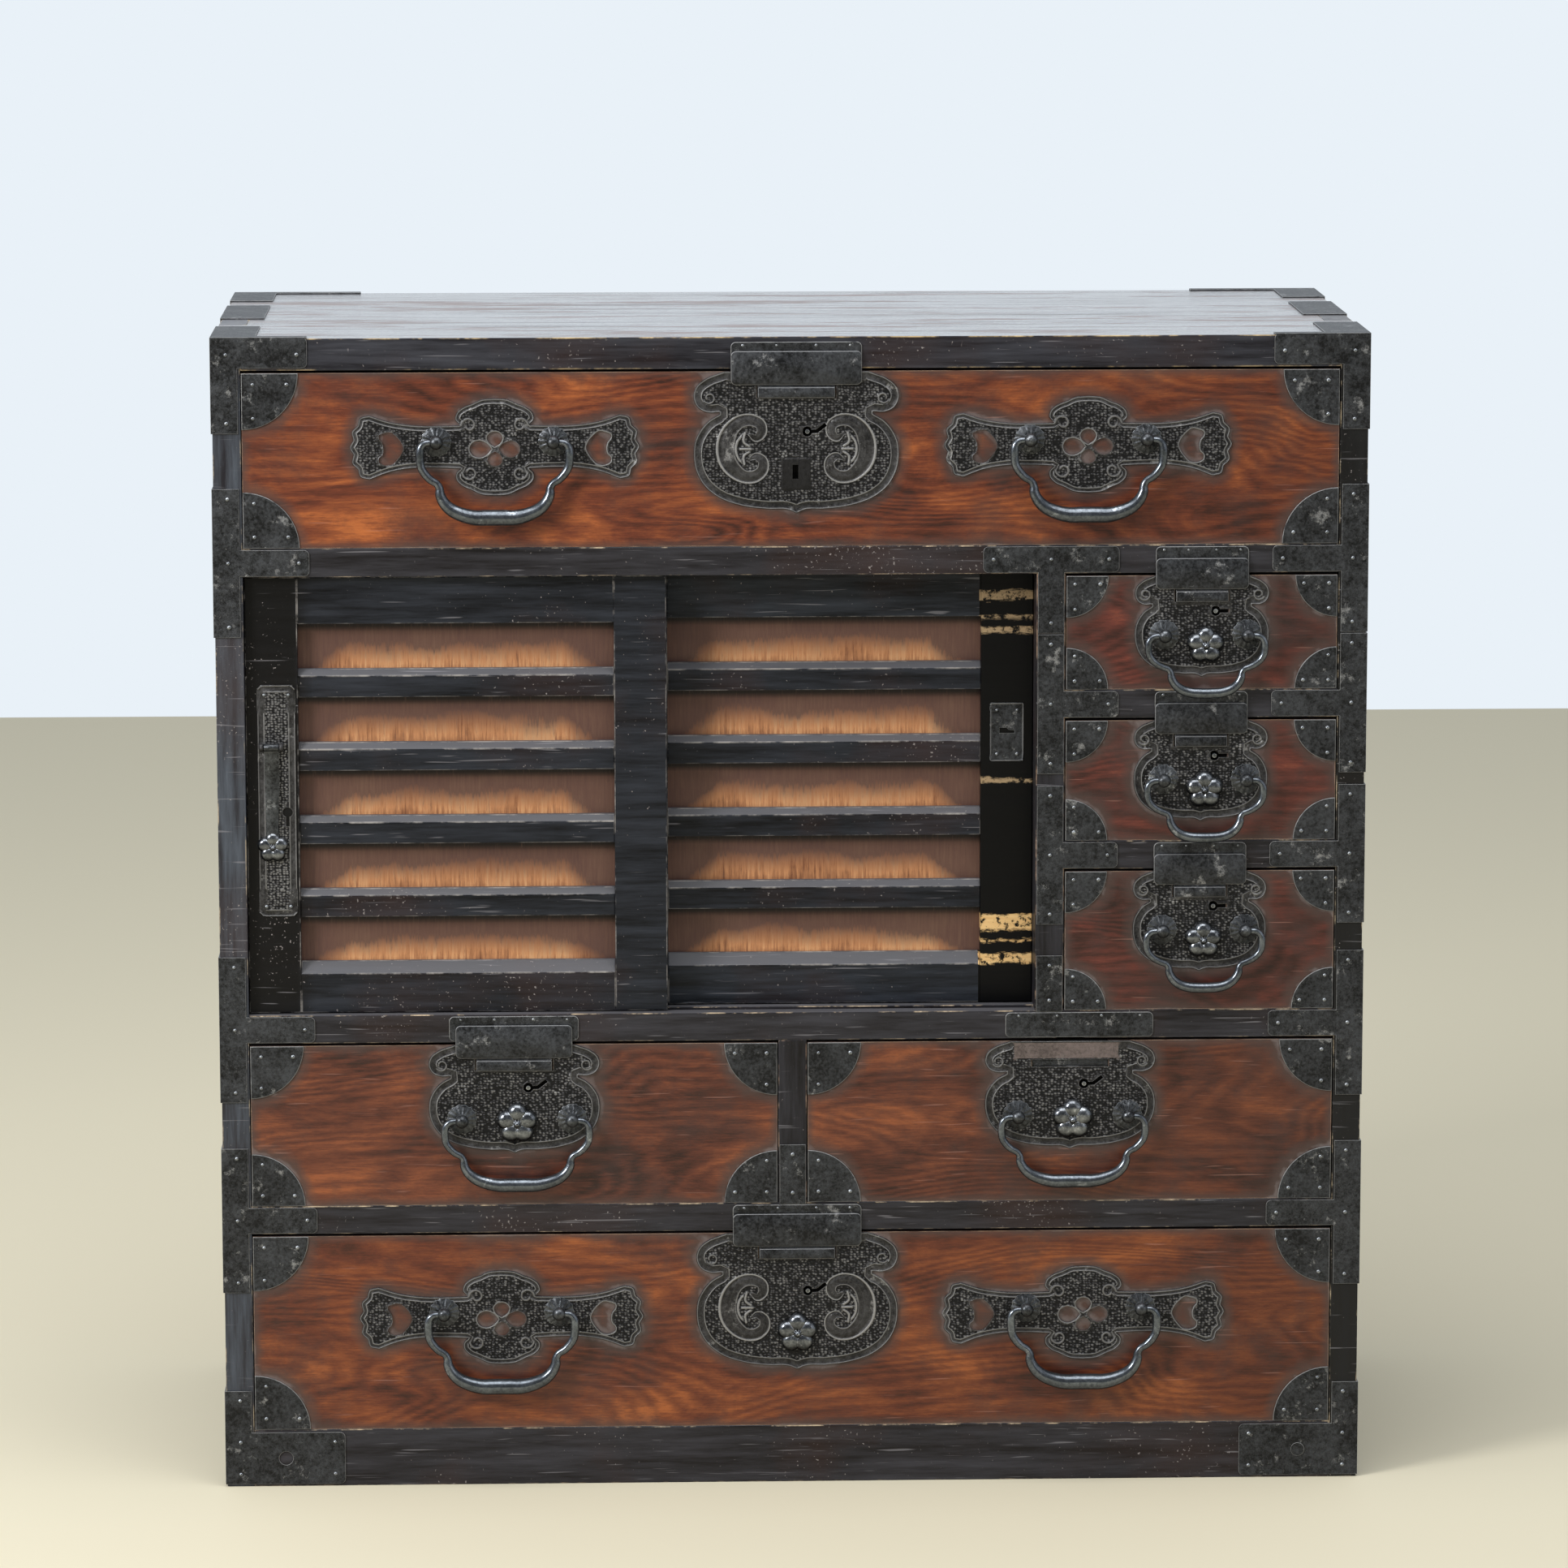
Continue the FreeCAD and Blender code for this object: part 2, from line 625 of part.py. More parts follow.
def build_frame_irons():
    """Every strap, corner and foot plate of the carcass, and the strike plates over the locks."""
    irons = []
    for side in (-1, 1):
        irons += top_corner_iron(side)
        irons += top_side_irons(side)
        irons += base_iron(side)
        for z in (upper_shelf_z, middle_shelf_z, lower_shelf_z):
            irons += stile_strap(side, z - strap_leg, z + shelf_thickness + strap_leg,
                                 z + iron_reveal / 2, z + shelf_thickness - iron_reveal / 2)
    for z in (small_middle_top, small_low_top):
        irons += stile_strap(1, z - small_strap_leg, z + shelf_thickness + small_strap_leg,
                             z + iron_reveal / 2, z + shelf_thickness - iron_reveal / 2)
    save("frame_irons", irons + partition_straps())

    strikes = []
    small_x = bay_centre(partition_right, inner_x)
    half_x = bay_centre(half_partition_x, inner_x)
    half_width = half_hasp_width + 2 * strike_margin
    for x, z, width in ((big_lock_shift, top_board_z, big_hasp_width),
                        (small_x, upper_shelf_z, small_hasp_width),
                        (small_x, small_middle_top, small_hasp_width),
                        (small_x, small_low_top, small_hasp_width),
                        (-half_x, middle_shelf_z, half_width),
                        (half_x + odd_strike_shift, middle_shelf_z, half_width + odd_strike_extra),
                        (big_lock_shift, lower_shelf_z, big_hasp_width)):
        half = width / 2
        strikes.append(rounded_slab(x - half, x + half, 0, iron_thickness, z + iron_reveal / 2,
                                    z + strike_height, iron_corner))
    save("strike_plates", strikes)


# Pulls, posts and knobs


def circle_across(x, y, z, along, radius):
    """A circle whose normal lies in the XZ plane, with its seam toward the front."""
    normal = Vec(along[0], 0, along[1]).normalize()
    seam = Vec(0, -1, 0)
    turn = FreeCAD.Rotation(seam, normal.cross(seam), normal, "ZXY")
    ring = Part.makeCircle(radius)
    ring.Placement = FreeCAD.Placement(Vec(x, y, z), turn)
    return Part.Wire([ring])


def bail(x, z, spacing, width, drop, bar, limb_shares):
    """A drop pull: two pins that turn in the posts, two thin limbs and a thicker grip."""
    limb = bar * limb_shares[0][2]
    reach = width / 2 - limb
    depth = drop - bar
    pin_inner = spacing / 2 - post_eye_radius * pin_end_share
    bend_start = spacing / 2 + post_eye_radius + post_side_gap
    bend = reach - bend_start
    path = [(pin_inner, 0, pin_radius), (bend_start, 0, pin_radius)]
    for turn in (30, 60, 90):
        a = math.radians(turn)
        path.append((bend_start + bend * math.sin(a), -bend * (1 - math.cos(a)),
                     pin_radius + (limb - pin_radius) * turn / 90))
    for across, down, thick in limb_shares:
        if down * depth > bend:
            path.append((across * reach, -down * depth, thick * bar))
    path = path + [(-px, pz, r) for px, pz, r in reversed(path)]
    y = front_y - pin_proud
    wires = []
    for i, (px, pz, radius) in enumerate(path):
        ahead = path[min(i + 1, len(path) - 1)]
        behind = path[max(i - 1, 0)]
        along = (ahead[0] - behind[0], ahead[1] - behind[1])
        if i in (1, len(path) - 2) or i in (0, len(path) - 1):
            along = (1, 0)
        wires.append(circle_across(x + px, y, z + pz, along, radius))
    return Part.makeLoft(wires, True, True)


def post(x, z):
    """A post with a round base and a cross-bored eye for the pull's pin."""
    base = Part.makeCone(post_base_radius, post_stem_radius + post_base_height, post_base_height,
                         Vec(x, front_y - plate_proud, z), Vec(0, -1, 0))
    stem = cylinder(x, z, plate_proud, pin_proud, post_stem_radius)
    eye = Part.makeSphere(post_eye_radius, Vec(x, front_y - pin_proud, z))
    bore = Part.makeCylinder(pin_radius + pin_clearance, 4 * post_eye_radius,
                             Vec(x - 2 * post_eye_radius, front_y - pin_proud, z), Vec(1, 0, 0))
    return fused([base, stem, eye]).cut(bore)


def flower(x, z, proud0, proud1, radius):
    """A blossom with five domed petals round a higher heart, seen from the front."""
    petal = radius * petal_radius_share
    ring = radius * petal_ring_share
    height = proud1 - proud0
    shapes = [Part.makeCone(petal, petal / 2, height, Vec(x, front_y - proud0, z), Vec(0, -1, 0))]
    for i in range(petal_count):
        a = math.radians(90 + 360 * i / petal_count)
        shapes.append(dome(x + ring * math.cos(a), z + ring * math.sin(a), proud0, petal,
                           height * petal_height_share))
    return fused(shapes)


def dome(x, z, proud, radius, height):
    """The cap of a ball that stands out of the front."""
    ball = (radius ** 2 + height ** 2) / (2 * height)
    start = math.degrees(math.asin((ball - height) / ball))
    return Part.makeSphere(ball, Vec(x, front_y - proud - height + ball, z), Vec(0, -1, 0), start, 90, 360)


# Drawers


def lock_sizes(kind):
    """The sizes of the three kinds of lock by name."""
    keys = ("width", "height", "hasp", "rise", "tab", "key_x", "key", "knob", "radius", "shift")
    values = {"big": (big_lock_width, big_lock_height, big_hasp_width, big_hasp_rise, big_tab_width,
                      big_key_x, big_key_drop, big_knob_drop, big_knob_radius, 0),
              "half": (half_lock_width, half_lock_height, half_hasp_width, half_hasp_rise, half_tab_width,
                       half_key_x, half_key_drop, half_knob_drop, half_knob_radius, half_pull_shift),
              "small": (small_lock_width, small_lock_height, small_hasp_width, small_hasp_rise,
                        small_tab_width, small_key_x, small_key_drop, small_knob_drop, small_knob_radius,
                        small_pull_shift)}
    return dict(zip(keys, values[kind]))


def drawer_front(x0, x1, z0, z1, lock_x, lock):
    """The front board, lapped for the sides and bottom, with a pocket for the lock bolt."""
    face = -drawer_inset
    back = face - front_thickness
    board = slab(x0, x1, back, face, z0, z1)
    wall_top = z1 - wall_drop
    half = lock["tab"] / 2 + bolt_slack
    pocket_back = face - bolt_gap - bolt_thickness - bolt_slack
    low = z1 - lock["knob"] - 2 * knob_stem_radius - bolt_gap
    cuts = [slab(x0 - overrun, x0 + drawer_wall, back - overrun, back + side_lap, z0 - overrun, wall_top),
            slab(x1 - drawer_wall, x1 + overrun, back - overrun, back + side_lap, z0 - overrun, wall_top),
            slab(x0 - overrun, x1 + overrun, back - overrun, back + bottom_lap, z0 - overrun,
                 z0 + drawer_bottom),
            slab(lock_x - half, lock_x + half, pocket_back, face + overrun, low, z1 + overrun)]
    board = board.cut(cuts)
    pin = cylinder(lock_x + lock["key_x"], z1 - lock["key"], pocket_back, plate_proud, key_pin_radius)
    return [board, pin]


def drawer_box(x0, x1, z0, z1):
    """Two sides, a back and a bottom behind the front."""
    start = front_y + drawer_inset + front_thickness - side_lap
    end = back_y - drawer_tail_gap
    top = z1 - wall_drop
    floor = z0 + drawer_bottom
    front_back = front_y + drawer_inset + front_thickness
    left = block(x0, x0 + drawer_wall, start, end, floor, top)
    right = block(x1 - drawer_wall, x1, start, end, floor, top)
    back = block(x0 + drawer_wall, x1 - drawer_wall, end - drawer_back_wall, end, floor, top)
    bottom = fused([block(x0, x1, front_back - bottom_lap, end, z0, floor),
                    block(x0, x0 + drawer_wall, start, front_back - bottom_lap, z0, floor),
                    block(x1 - drawer_wall, x1, start, front_back - bottom_lap, z0, floor)])
    return [left, right, back, bottom]


def corner_irons(x0, x1, z0, z1, radius):
    """Quarter-round plates with three nails each on the four corners of a drawer front."""
    irons = []
    face = -drawer_inset
    proud = face + iron_thickness
    for sx, x in ((1, x0), (-1, x1)):
        for sz, z in ((1, z0), (-1, z1)):
            quarter = {(1, 1): 0, (-1, 1): 90, (-1, -1): 180, (1, -1): 270}[(sx, sz)]
            disc = Part.makeCylinder(radius, iron_thickness, Vec(0, 0, 0), Vec(0, 0, 1), 90)
            disc.rotate(Vec(0, 0, 0), Vec(0, 0, 1), quarter)
            disc.rotate(Vec(0, 0, 0), Vec(1, 0, 0), 90)
            disc.translate(Vec(x, front_y - face, z))
            irons.append(disc)
            irons += nail_heads([(x + sx * a * radius, z + sz * b * radius)
                                 for a, b in corner_nail_shares], proud)
    return irons


def lock_plate(x, top, lock):
    """The shaped plate over a drawer's lock, pierced for the tab, the knob and the key."""
    face = -drawer_inset
    plate = outline_plate([lock_body_shares, lock_lobe_shares], x, top - lock["height"],
                          lock["width"] / 2, lock["height"], face, plate_proud)
    half = lock["tab"] / 2 + tab_side_gap
    slot_low = top + drawer_top_gap - tab_drop - tab_height - bolt_gap
    slot_high = top + drawer_top_gap - tab_drop + bolt_travel
    cuts = [slab(x - half, x + half, face - overrun, plate_proud + overrun, slot_low, slot_high)]
    stem = knob_stem_radius + knob_slot_gap
    knob_z = top - lock["knob"]
    knob_x = x + lock["shift"]
    cuts.append(slab(knob_x - stem, knob_x + stem, face - overrun, plate_proud + overrun, knob_z - stem,
                     knob_z + stem + bolt_travel))
    key_x, key_z = x + lock["key_x"], top - lock["key"]
    ring = cylinder(key_x, key_z, face - overrun, plate_proud + overrun, key_ring_radius)
    cuts.append(ring)
    cuts.append(slab(key_x, key_x + key_slot_reach(), face - overrun, plate_proud + overrun,
                     key_z - key_slot_width / 2, key_z + key_slot_width / 2))
    return plate.cut(cuts)


def key_slot_reach():
    """How far the key slot runs beside its ring."""
    return 3 * key_ring_radius


def lock_bolt(x, top, lock, hasp, knob):
    """The sliding bolt: tongue, cross bar and stem behind the plate, tab, hasp and knob before it."""
    opening_top = top + drawer_top_gap
    back = -drawer_inset - bolt_gap - bolt_thickness
    behind_plate = -drawer_inset - bolt_gap
    hasp_back = plate_proud + bolt_gap
    hasp_front = hasp_back + hasp_thickness
    tab_top = opening_top - tab_drop
    tab_low = tab_top - tab_height
    knob_x, knob_z = x + lock["shift"], top - lock["knob"]
    tab = lock["tab"] / 2
    tab_face = hasp_front + tab_proud if hasp else plate_proud - nail_height
    pieces = [slab(x - bolt_tongue_half, x + bolt_tongue_half, back, behind_plate, tab_low,
                   top - bolt_top_gap),
              slab(x - tab, x + tab, back, behind_plate, tab_low, tab_top),
              slab(knob_x - bolt_stem_half, knob_x + bolt_stem_half, back, behind_plate,
                   knob_z - 2 * knob_stem_radius, tab_low + tab_height / 2),
              slab(x - tab, x + tab, back, tab_face, tab_low, tab_top)]
    if hasp:
        half = lock["hasp"] / 2
        pieces.append(rounded_slab(x - half, x + half, hasp_back, hasp_front, tab_top,
                                   opening_top + lock["rise"], hasp_edge_radius))
        pieces.append(slab(x - tab, x + tab, hasp_back, hasp_front, tab_low, tab_top + tab_height))
    if knob:
        face = plate_proud + bolt_gap
        pieces.append(cylinder(knob_x, knob_z, back, face + knob_height / 2, knob_stem_radius))
        pieces.append(flower(knob_x, knob_z, face, face + knob_height, lock["radius"]))
    return fused(pieces)


def pierced(points, x, z):
    """A smooth closed hole through a drawer plate, its points given from a centre."""
    start = -drawer_inset - overrun
    curve = Part.BSplineCurve()
    curve.interpolate(Points=[Vec(x + px, front_y - start, z + pz) for px, pz in points], PeriodicFlag=True)
    face = Part.Face(Part.Wire([curve.toShape()]))
    return face.extrude(Vec(0, start - plate_proud - overrun, 0))


def pull_plate(x, z):
    """The long plate behind a pull of a wide drawer, pierced by a four-petal hole and two beans."""
    half_width, half_height = pull_plate_width / 2, pull_plate_height / 2
    plate = outline_plate(pull_plate_shares, x, z, half_width, half_height, -drawer_inset, plate_proud)
    petal = petal_hole_shares + [(a, -b) for a, b in reversed(petal_hole_shares[1:-1])]
    holes = []
    for side in (-1, 1):
        holes.append(pierced([(side * a * half_width, b * half_height) for a, b in bean_shares], x, z))
        holes.append(pierced([(side * a * pierced_side_reach, b * pierced_side_half) for a, b in petal],
                             x, z - pierced_drop))
        holes.append(pierced([(b * pierced_up_half, side * a * pierced_up_reach) for a, b in petal],
                             x, z - pierced_drop))
    return plate.cut(holes)


def build_drawer(name, bay, kind, hasp, knob, corner_radius):
    """All nodes of one drawer; bay is (left, right, floor, top) of its opening."""
    x0, x1 = bay[0] + drawer_gap, bay[1] - drawer_gap
    z0, z1 = bay[2] + seat_gap, bay[3] - drawer_top_gap
    lock = lock_sizes(kind)
    lock_x = bay_centre(x0, x1) + (big_lock_shift if kind == "big" else 0)
    save(name + "_front", drawer_front(x0, x1, z0, z1, lock_x, lock))
    save(name + "_box", drawer_box(x0, x1, z0, z1))
    irons = corner_irons(x0, x1, z0, z1, corner_radius)
    irons.append(lock_plate(lock_x, z1, lock))
    if kind == "big":
        plate_z = z0 + pull_plate_share * (z1 - z0)
        for side, word in ((-1, "_left_bail"), (1, "_right_bail")):
            plate_x = side * pull_plate_x
            post_z = plate_z + pull_post_rise
            irons.append(pull_plate(plate_x, plate_z))
            irons += [post(plate_x + s * pull_post_spacing / 2, post_z) for s in (-1, 1)]
            save(name + word, [bail(plate_x, post_z, pull_post_spacing, pull_bail_width,
                                    pull_bail_drop, pull_bail_bar, bail_limb_shares)])
    else:
        sizes = {"half": (half_post_drop, half_post_spacing, half_bail_width, half_bail_drop, half_bail_bar,
                          bail_limb_shares),
                 "small": (small_post_drop, small_post_spacing, small_bail_width, small_bail_drop,
                           small_bail_bar, small_bail_limb_shares)}[kind]
        post_z = z1 - sizes[0]
        pull_x = lock_x + lock["shift"]
        irons += [post(pull_x + s * sizes[1] / 2, post_z) for s in (-1, 1)]
        save(name + "_bail", [bail(pull_x, post_z, *sizes[1:])])
    save(name + "_irons", irons)
    save(name + "_lock_bolt", [lock_bolt(lock_x, z1, lock, hasp, knob)])


def build_drawers():
    """The seven drawers."""
    full = (-inner_x, inner_x)
    small = (partition_right, inner_x)
    build_drawer("top_drawer", full + (top_floor, top_board_z), "big", True, False, wide_corner_radius)
    build_drawer("small_drawer_1", small + (small_high_floor, upper_shelf_z), "small", True, True,
                 small_corner_radius)
    build_drawer("small_drawer_2", small + (small_middle_floor, small_middle_top), "small", True, True,
                 small_corner_radius)
    build_drawer("small_drawer_3", small + (door_floor, small_low_top), "small", True, True,
                 small_corner_radius)
    build_drawer("left_half_drawer", (-inner_x, -half_partition_x, half_floor, middle_shelf_z), "half",
                 True, True, half_corner_radius)
    build_drawer("right_half_drawer", (half_partition_x, inner_x, half_floor, middle_shelf_z), "half",
                 False, True, half_corner_radius)
    build_drawer("bottom_drawer", full + (bottom_floor, lower_shelf_z), "big", True, True,
                 wide_corner_radius)


# Sliding doors


def tongued(x0, x1, y, z0, z1, low, high):
    """A board of a door, with the tongue that runs in the track where it meets it."""
    pieces = [block(x0, x1, y, y + door_thickness, z0, z1)]
    t0 = y + (door_thickness - tongue_thickness) / 2
    if low:
        pieces.append(block(x0, x1, t0, t0 + tongue_thickness, z0 - low, z0))
    if high:
        pieces.append(block(x0, x1, t0, t0 + tongue_thickness, z1, z1 + high))
    return fused(pieces) if len(pieces) > 1 else pieces[0]


def bevelled(x0, x1, y0, y1, z0, z1, bevel):
    """A bar whose upper front edge slopes back."""
    points = [Vec(x0, y0, z0), Vec(x0, y1, z0), Vec(x0, y1, z1), Vec(x0, y0 + bevel, z1),
              Vec(x0, y0, z1 - bevel), Vec(x0, y0, z0)]
    return Part.Face(Part.makePolygon(points)).extrude(Vec(x1 - x0, 0, 0))


def build_door(name, x0, y):
    """Frame, slats and panel of one sliding door."""
    width = (door_bay_width + door_overlap) / 2 - door_side_gap
    x1 = x0 + width
    z0 = door_floor + door_edge_gap
    z1 = upper_shelf_z - door_edge_gap
    low = door_edge_gap + bottom_groove - seat_gap
    high = top_tongue
    in0, in1 = x0 + door_stile, x1 - door_stile
    panel_y = y + panel_setback
    panel_low = z0 + door_bottom_rail - panel_tongue
    panel_high = z1 - door_top_rail + panel_tongue
    groove = block(in0 - panel_tongue, in1 + panel_tongue, panel_y, panel_y + panel_thickness,
                   panel_low, panel_high)
    stiles = [tongued(x0, in0, y, z0, z1, low, high), tongued(in1, x1, y, z0, z1, low, high)]
    top = tongued(in0, in1, y, z1 - door_top_rail, z1, 0, high)
    rail_top = z0 + door_bottom_rail
    t0 = y + (door_thickness - tongue_thickness) / 2
    bottom = fused([bevelled(in0, in1, y, y + door_thickness, z0, rail_top, door_bottom_bevel),
                    block(in0, in1, t0, t0 + tongue_thickness, z0 - low, z0)])
    save(name + "_frame", [piece.cut(groove) for piece in stiles + [top, bottom]])
    save(name + "_panel", [groove])
    clear = z1 - door_top_rail - rail_top
    gap = (clear - slat_count * slat_height) / (slat_count + 1)
    slats = []
    for i in range(slat_count):
        z = rail_top + gap + i * (gap + slat_height)
        slats.append(bevelled(in0, in1, y + slat_setback, panel_y, z, z + slat_height, slat_bevel))
    save(name + "_slats", slats)


def build_left_door_lock(x0, y):
    """Lock plate with its hinged hasp on the left door's outer stile."""
    face = -(y - front_y)
    proud = face + door_plate_thickness
    px0 = x0 + door_plate_edge
    px1 = px0 + door_plate_width
    z0 = door_floor + door_plate_rise
    z1 = z0 + door_plate_height
    pin_x = px0 + door_plate_width / 2 - hasp_offset
    pin_z = z1 - hasp_pin_drop
    pin_proud_here = proud + bolt_gap + hasp_knuckle_radius
    half = hasp_knuckle_width / 2
    reach = half + bolt_gap + hasp_ear_width
    plate = rounded_slab(px0, px1, face, proud, z0, z1, iron_corner)
    key_x, key_z = px1 - door_key_side, z1 - door_key_drop
    plate = plate.cut([cylinder(key_x, key_z, face - overrun, proud + overrun, key_ring_radius),
                       slab(key_x - key_slot_width / 2, key_x + key_slot_width / 2, face - overrun,
                            proud + overrun, key_z - key_slot_reach(), key_z)])
    pieces = []
    for side in (-1, 1):
        a, b = sorted((pin_x + side * (half + bolt_gap), pin_x + side * reach))
        ear = Part.makeCylinder(hasp_knuckle_radius, b - a, Vec(a, front_y - pin_proud_here, pin_z),
                                Vec(1, 0, 0))
        foot = slab(a, b, proud, pin_proud_here, pin_z - hasp_knuckle_radius, pin_z + hasp_knuckle_radius)
        pieces.append(fused([ear, foot]))
    pin = Part.makeCylinder(hasp_pin_radius, 2 * reach, Vec(pin_x - reach, front_y - pin_proud_here, pin_z),
                            Vec(1, 0, 0))
    pieces = [piece.cut(pin) for piece in pieces]
    save("left_door_lock_plate", [plate, pin] + pieces
         + nail_heads([(px0 + iron_corner, z1 - iron_corner), (px1 - iron_corner, z1 - iron_corner),
                       (px0 + iron_corner, z0 + iron_corner), (px1 - iron_corner, z0 + iron_corner)], proud))

    knuckle = Part.makeCylinder(hasp_knuckle_radius, hasp_knuckle_width,
                                Vec(pin_x - half, front_y - pin_proud_here, pin_z), Vec(1, 0, 0))
    bore = Part.makeCylinder(hasp_pin_radius + pin_clearance, 2 * hasp_knuckle_width,
                             Vec(pin_x - hasp_knuckle_width, front_y - pin_proud_here, pin_z), Vec(1, 0, 0))
    bar_back = proud + bolt_gap
    bar = slab(pin_x - hasp_bar_width / 2, pin_x + hasp_bar_width / 2, bar_back,
               bar_back + hasp_bar_thickness, pin_z - hasp_bar_length, pin_z)
    end_z = pin_z - hasp_bar_length - hasp_flower_radius / 2
    end = flower(pin_x, end_z, bar_back, bar_back + hasp_bar_thickness + hasp_flower_height,
                 hasp_flower_radius)
    save("left_door_hasp", [fused([knuckle, bar, end]).cut(bore)])


def build_right_door_plate(x1, y):
    """Key plate on the right door's outer stile."""
    face = -(y - front_y)
    proud = face + key_plate_thickness
    middle = x1 - door_stile / 2
    z0 = door_floor + key_plate_rise
    z1 = z0 + key_plate_height
    px0, px1 = middle - key_plate_width / 2, middle + key_plate_width / 2
    plate = rounded_slab(px0, px1, face, proud, z0, z1, iron_reveal)
    key_z = (z0 + z1) / 2
    plate = plate.cut(slab(middle - key_slot_length / 2, middle + key_slot_length / 2, face - overrun,
                           proud + overrun, key_z, key_z + key_slot_height))
    save("right_door_key_plate", [plate])


def build_doors():
    """Both sliding doors with what is nailed to them."""
    left_y, right_y = door_faces()
    width = (door_bay_width + door_overlap) / 2 - door_side_gap
    left_x = -inner_x + door_side_gap
    right_x = partition_left - door_side_gap - width
    build_door("left_door", left_x, left_y)
    build_door("right_door", right_x, right_y)
    build_left_door_lock(left_x, left_y)
    build_right_door_plate(right_x + width, right_y)


build_carcass()
build_frame_irons()
build_drawers()
build_doors()
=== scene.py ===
import json
import math

import bmesh
import bpy
import numpy as np
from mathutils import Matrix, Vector, kdtree
from mathutils.geometry import delaunay_2d_cdt

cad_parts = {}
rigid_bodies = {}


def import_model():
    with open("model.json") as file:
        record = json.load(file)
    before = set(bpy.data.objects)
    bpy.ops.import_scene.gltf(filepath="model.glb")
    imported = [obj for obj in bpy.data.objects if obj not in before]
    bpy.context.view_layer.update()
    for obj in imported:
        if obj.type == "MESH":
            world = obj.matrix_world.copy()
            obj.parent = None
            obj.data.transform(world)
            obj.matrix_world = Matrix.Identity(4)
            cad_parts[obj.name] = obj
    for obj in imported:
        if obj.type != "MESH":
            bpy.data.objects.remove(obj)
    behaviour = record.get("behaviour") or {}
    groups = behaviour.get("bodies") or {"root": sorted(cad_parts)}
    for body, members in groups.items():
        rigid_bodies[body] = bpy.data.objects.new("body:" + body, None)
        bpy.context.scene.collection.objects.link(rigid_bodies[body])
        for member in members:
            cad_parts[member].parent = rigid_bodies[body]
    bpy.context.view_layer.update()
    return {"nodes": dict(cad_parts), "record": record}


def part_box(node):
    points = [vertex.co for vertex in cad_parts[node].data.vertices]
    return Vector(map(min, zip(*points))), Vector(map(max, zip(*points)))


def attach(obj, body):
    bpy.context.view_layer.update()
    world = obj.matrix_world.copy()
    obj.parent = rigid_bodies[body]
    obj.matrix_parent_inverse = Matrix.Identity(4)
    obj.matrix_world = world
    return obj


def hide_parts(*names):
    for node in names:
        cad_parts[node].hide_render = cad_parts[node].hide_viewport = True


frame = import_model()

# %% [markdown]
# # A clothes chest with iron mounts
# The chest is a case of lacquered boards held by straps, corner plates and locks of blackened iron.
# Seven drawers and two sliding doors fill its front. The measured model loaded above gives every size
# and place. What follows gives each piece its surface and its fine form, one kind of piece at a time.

MM = 0.001
front_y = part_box("left_side_panel")[0].y
bodies = {name: body for body, names in frame["record"]["behaviour"]["bodies"].items() for name in names}
print("front of the case at", round(front_y, 5), "nodes", len(bodies))

# %% [markdown]
# ## Small tools
# Every material and every node tree below is written with the same two tools: one turns a written
# colour into the linear numbers that shaders use, and one adds a node with its settings and links.
# A node given as an input passes on its first live output, which keeps the lines short.

# %% Colours and nodes
def colour(code):
    """A written sRGB colour as linear numbers."""
    parts = [int(code[i:i + 2], 16) / 255 for i in (1, 3, 5)]
    return tuple(c / 12.92 if c <= 0.04045 else ((c + 0.055) / 1.055) ** 2.4 for c in parts) + (1.0,)


def live_output(item):
    """The first output in use of a node; anything else is passed on as it is."""
    return next(s for s in item.outputs if s.enabled) if isinstance(item, bpy.types.Node) else item


def node(tree, kind, inputs=None, stops=None, **settings):
    """Add a node, set what it is told, and link or fill its inputs."""
    made = tree.nodes.new(kind)
    for name, value in settings.items():
        setattr(made, name, value)
    if stops:
        points = made.color_ramp.elements
        while len(points) < len(stops):
            points.new(1.0)
        for point, (place, value) in zip(points, stops):
            point.position = place
            point.color = colour(value) if isinstance(value, str) else (value, value, value, 1.0)
    for key, value in (inputs or {}).items():
        value = live_output(value)
        if isinstance(value, bpy.types.NodeSocket):
            tree.links.new(value, made.inputs[key])
        elif isinstance(value, str) and value.startswith("#"):
            made.inputs[key].default_value = colour(value)
        else:
            made.inputs[key].default_value = value
    return made
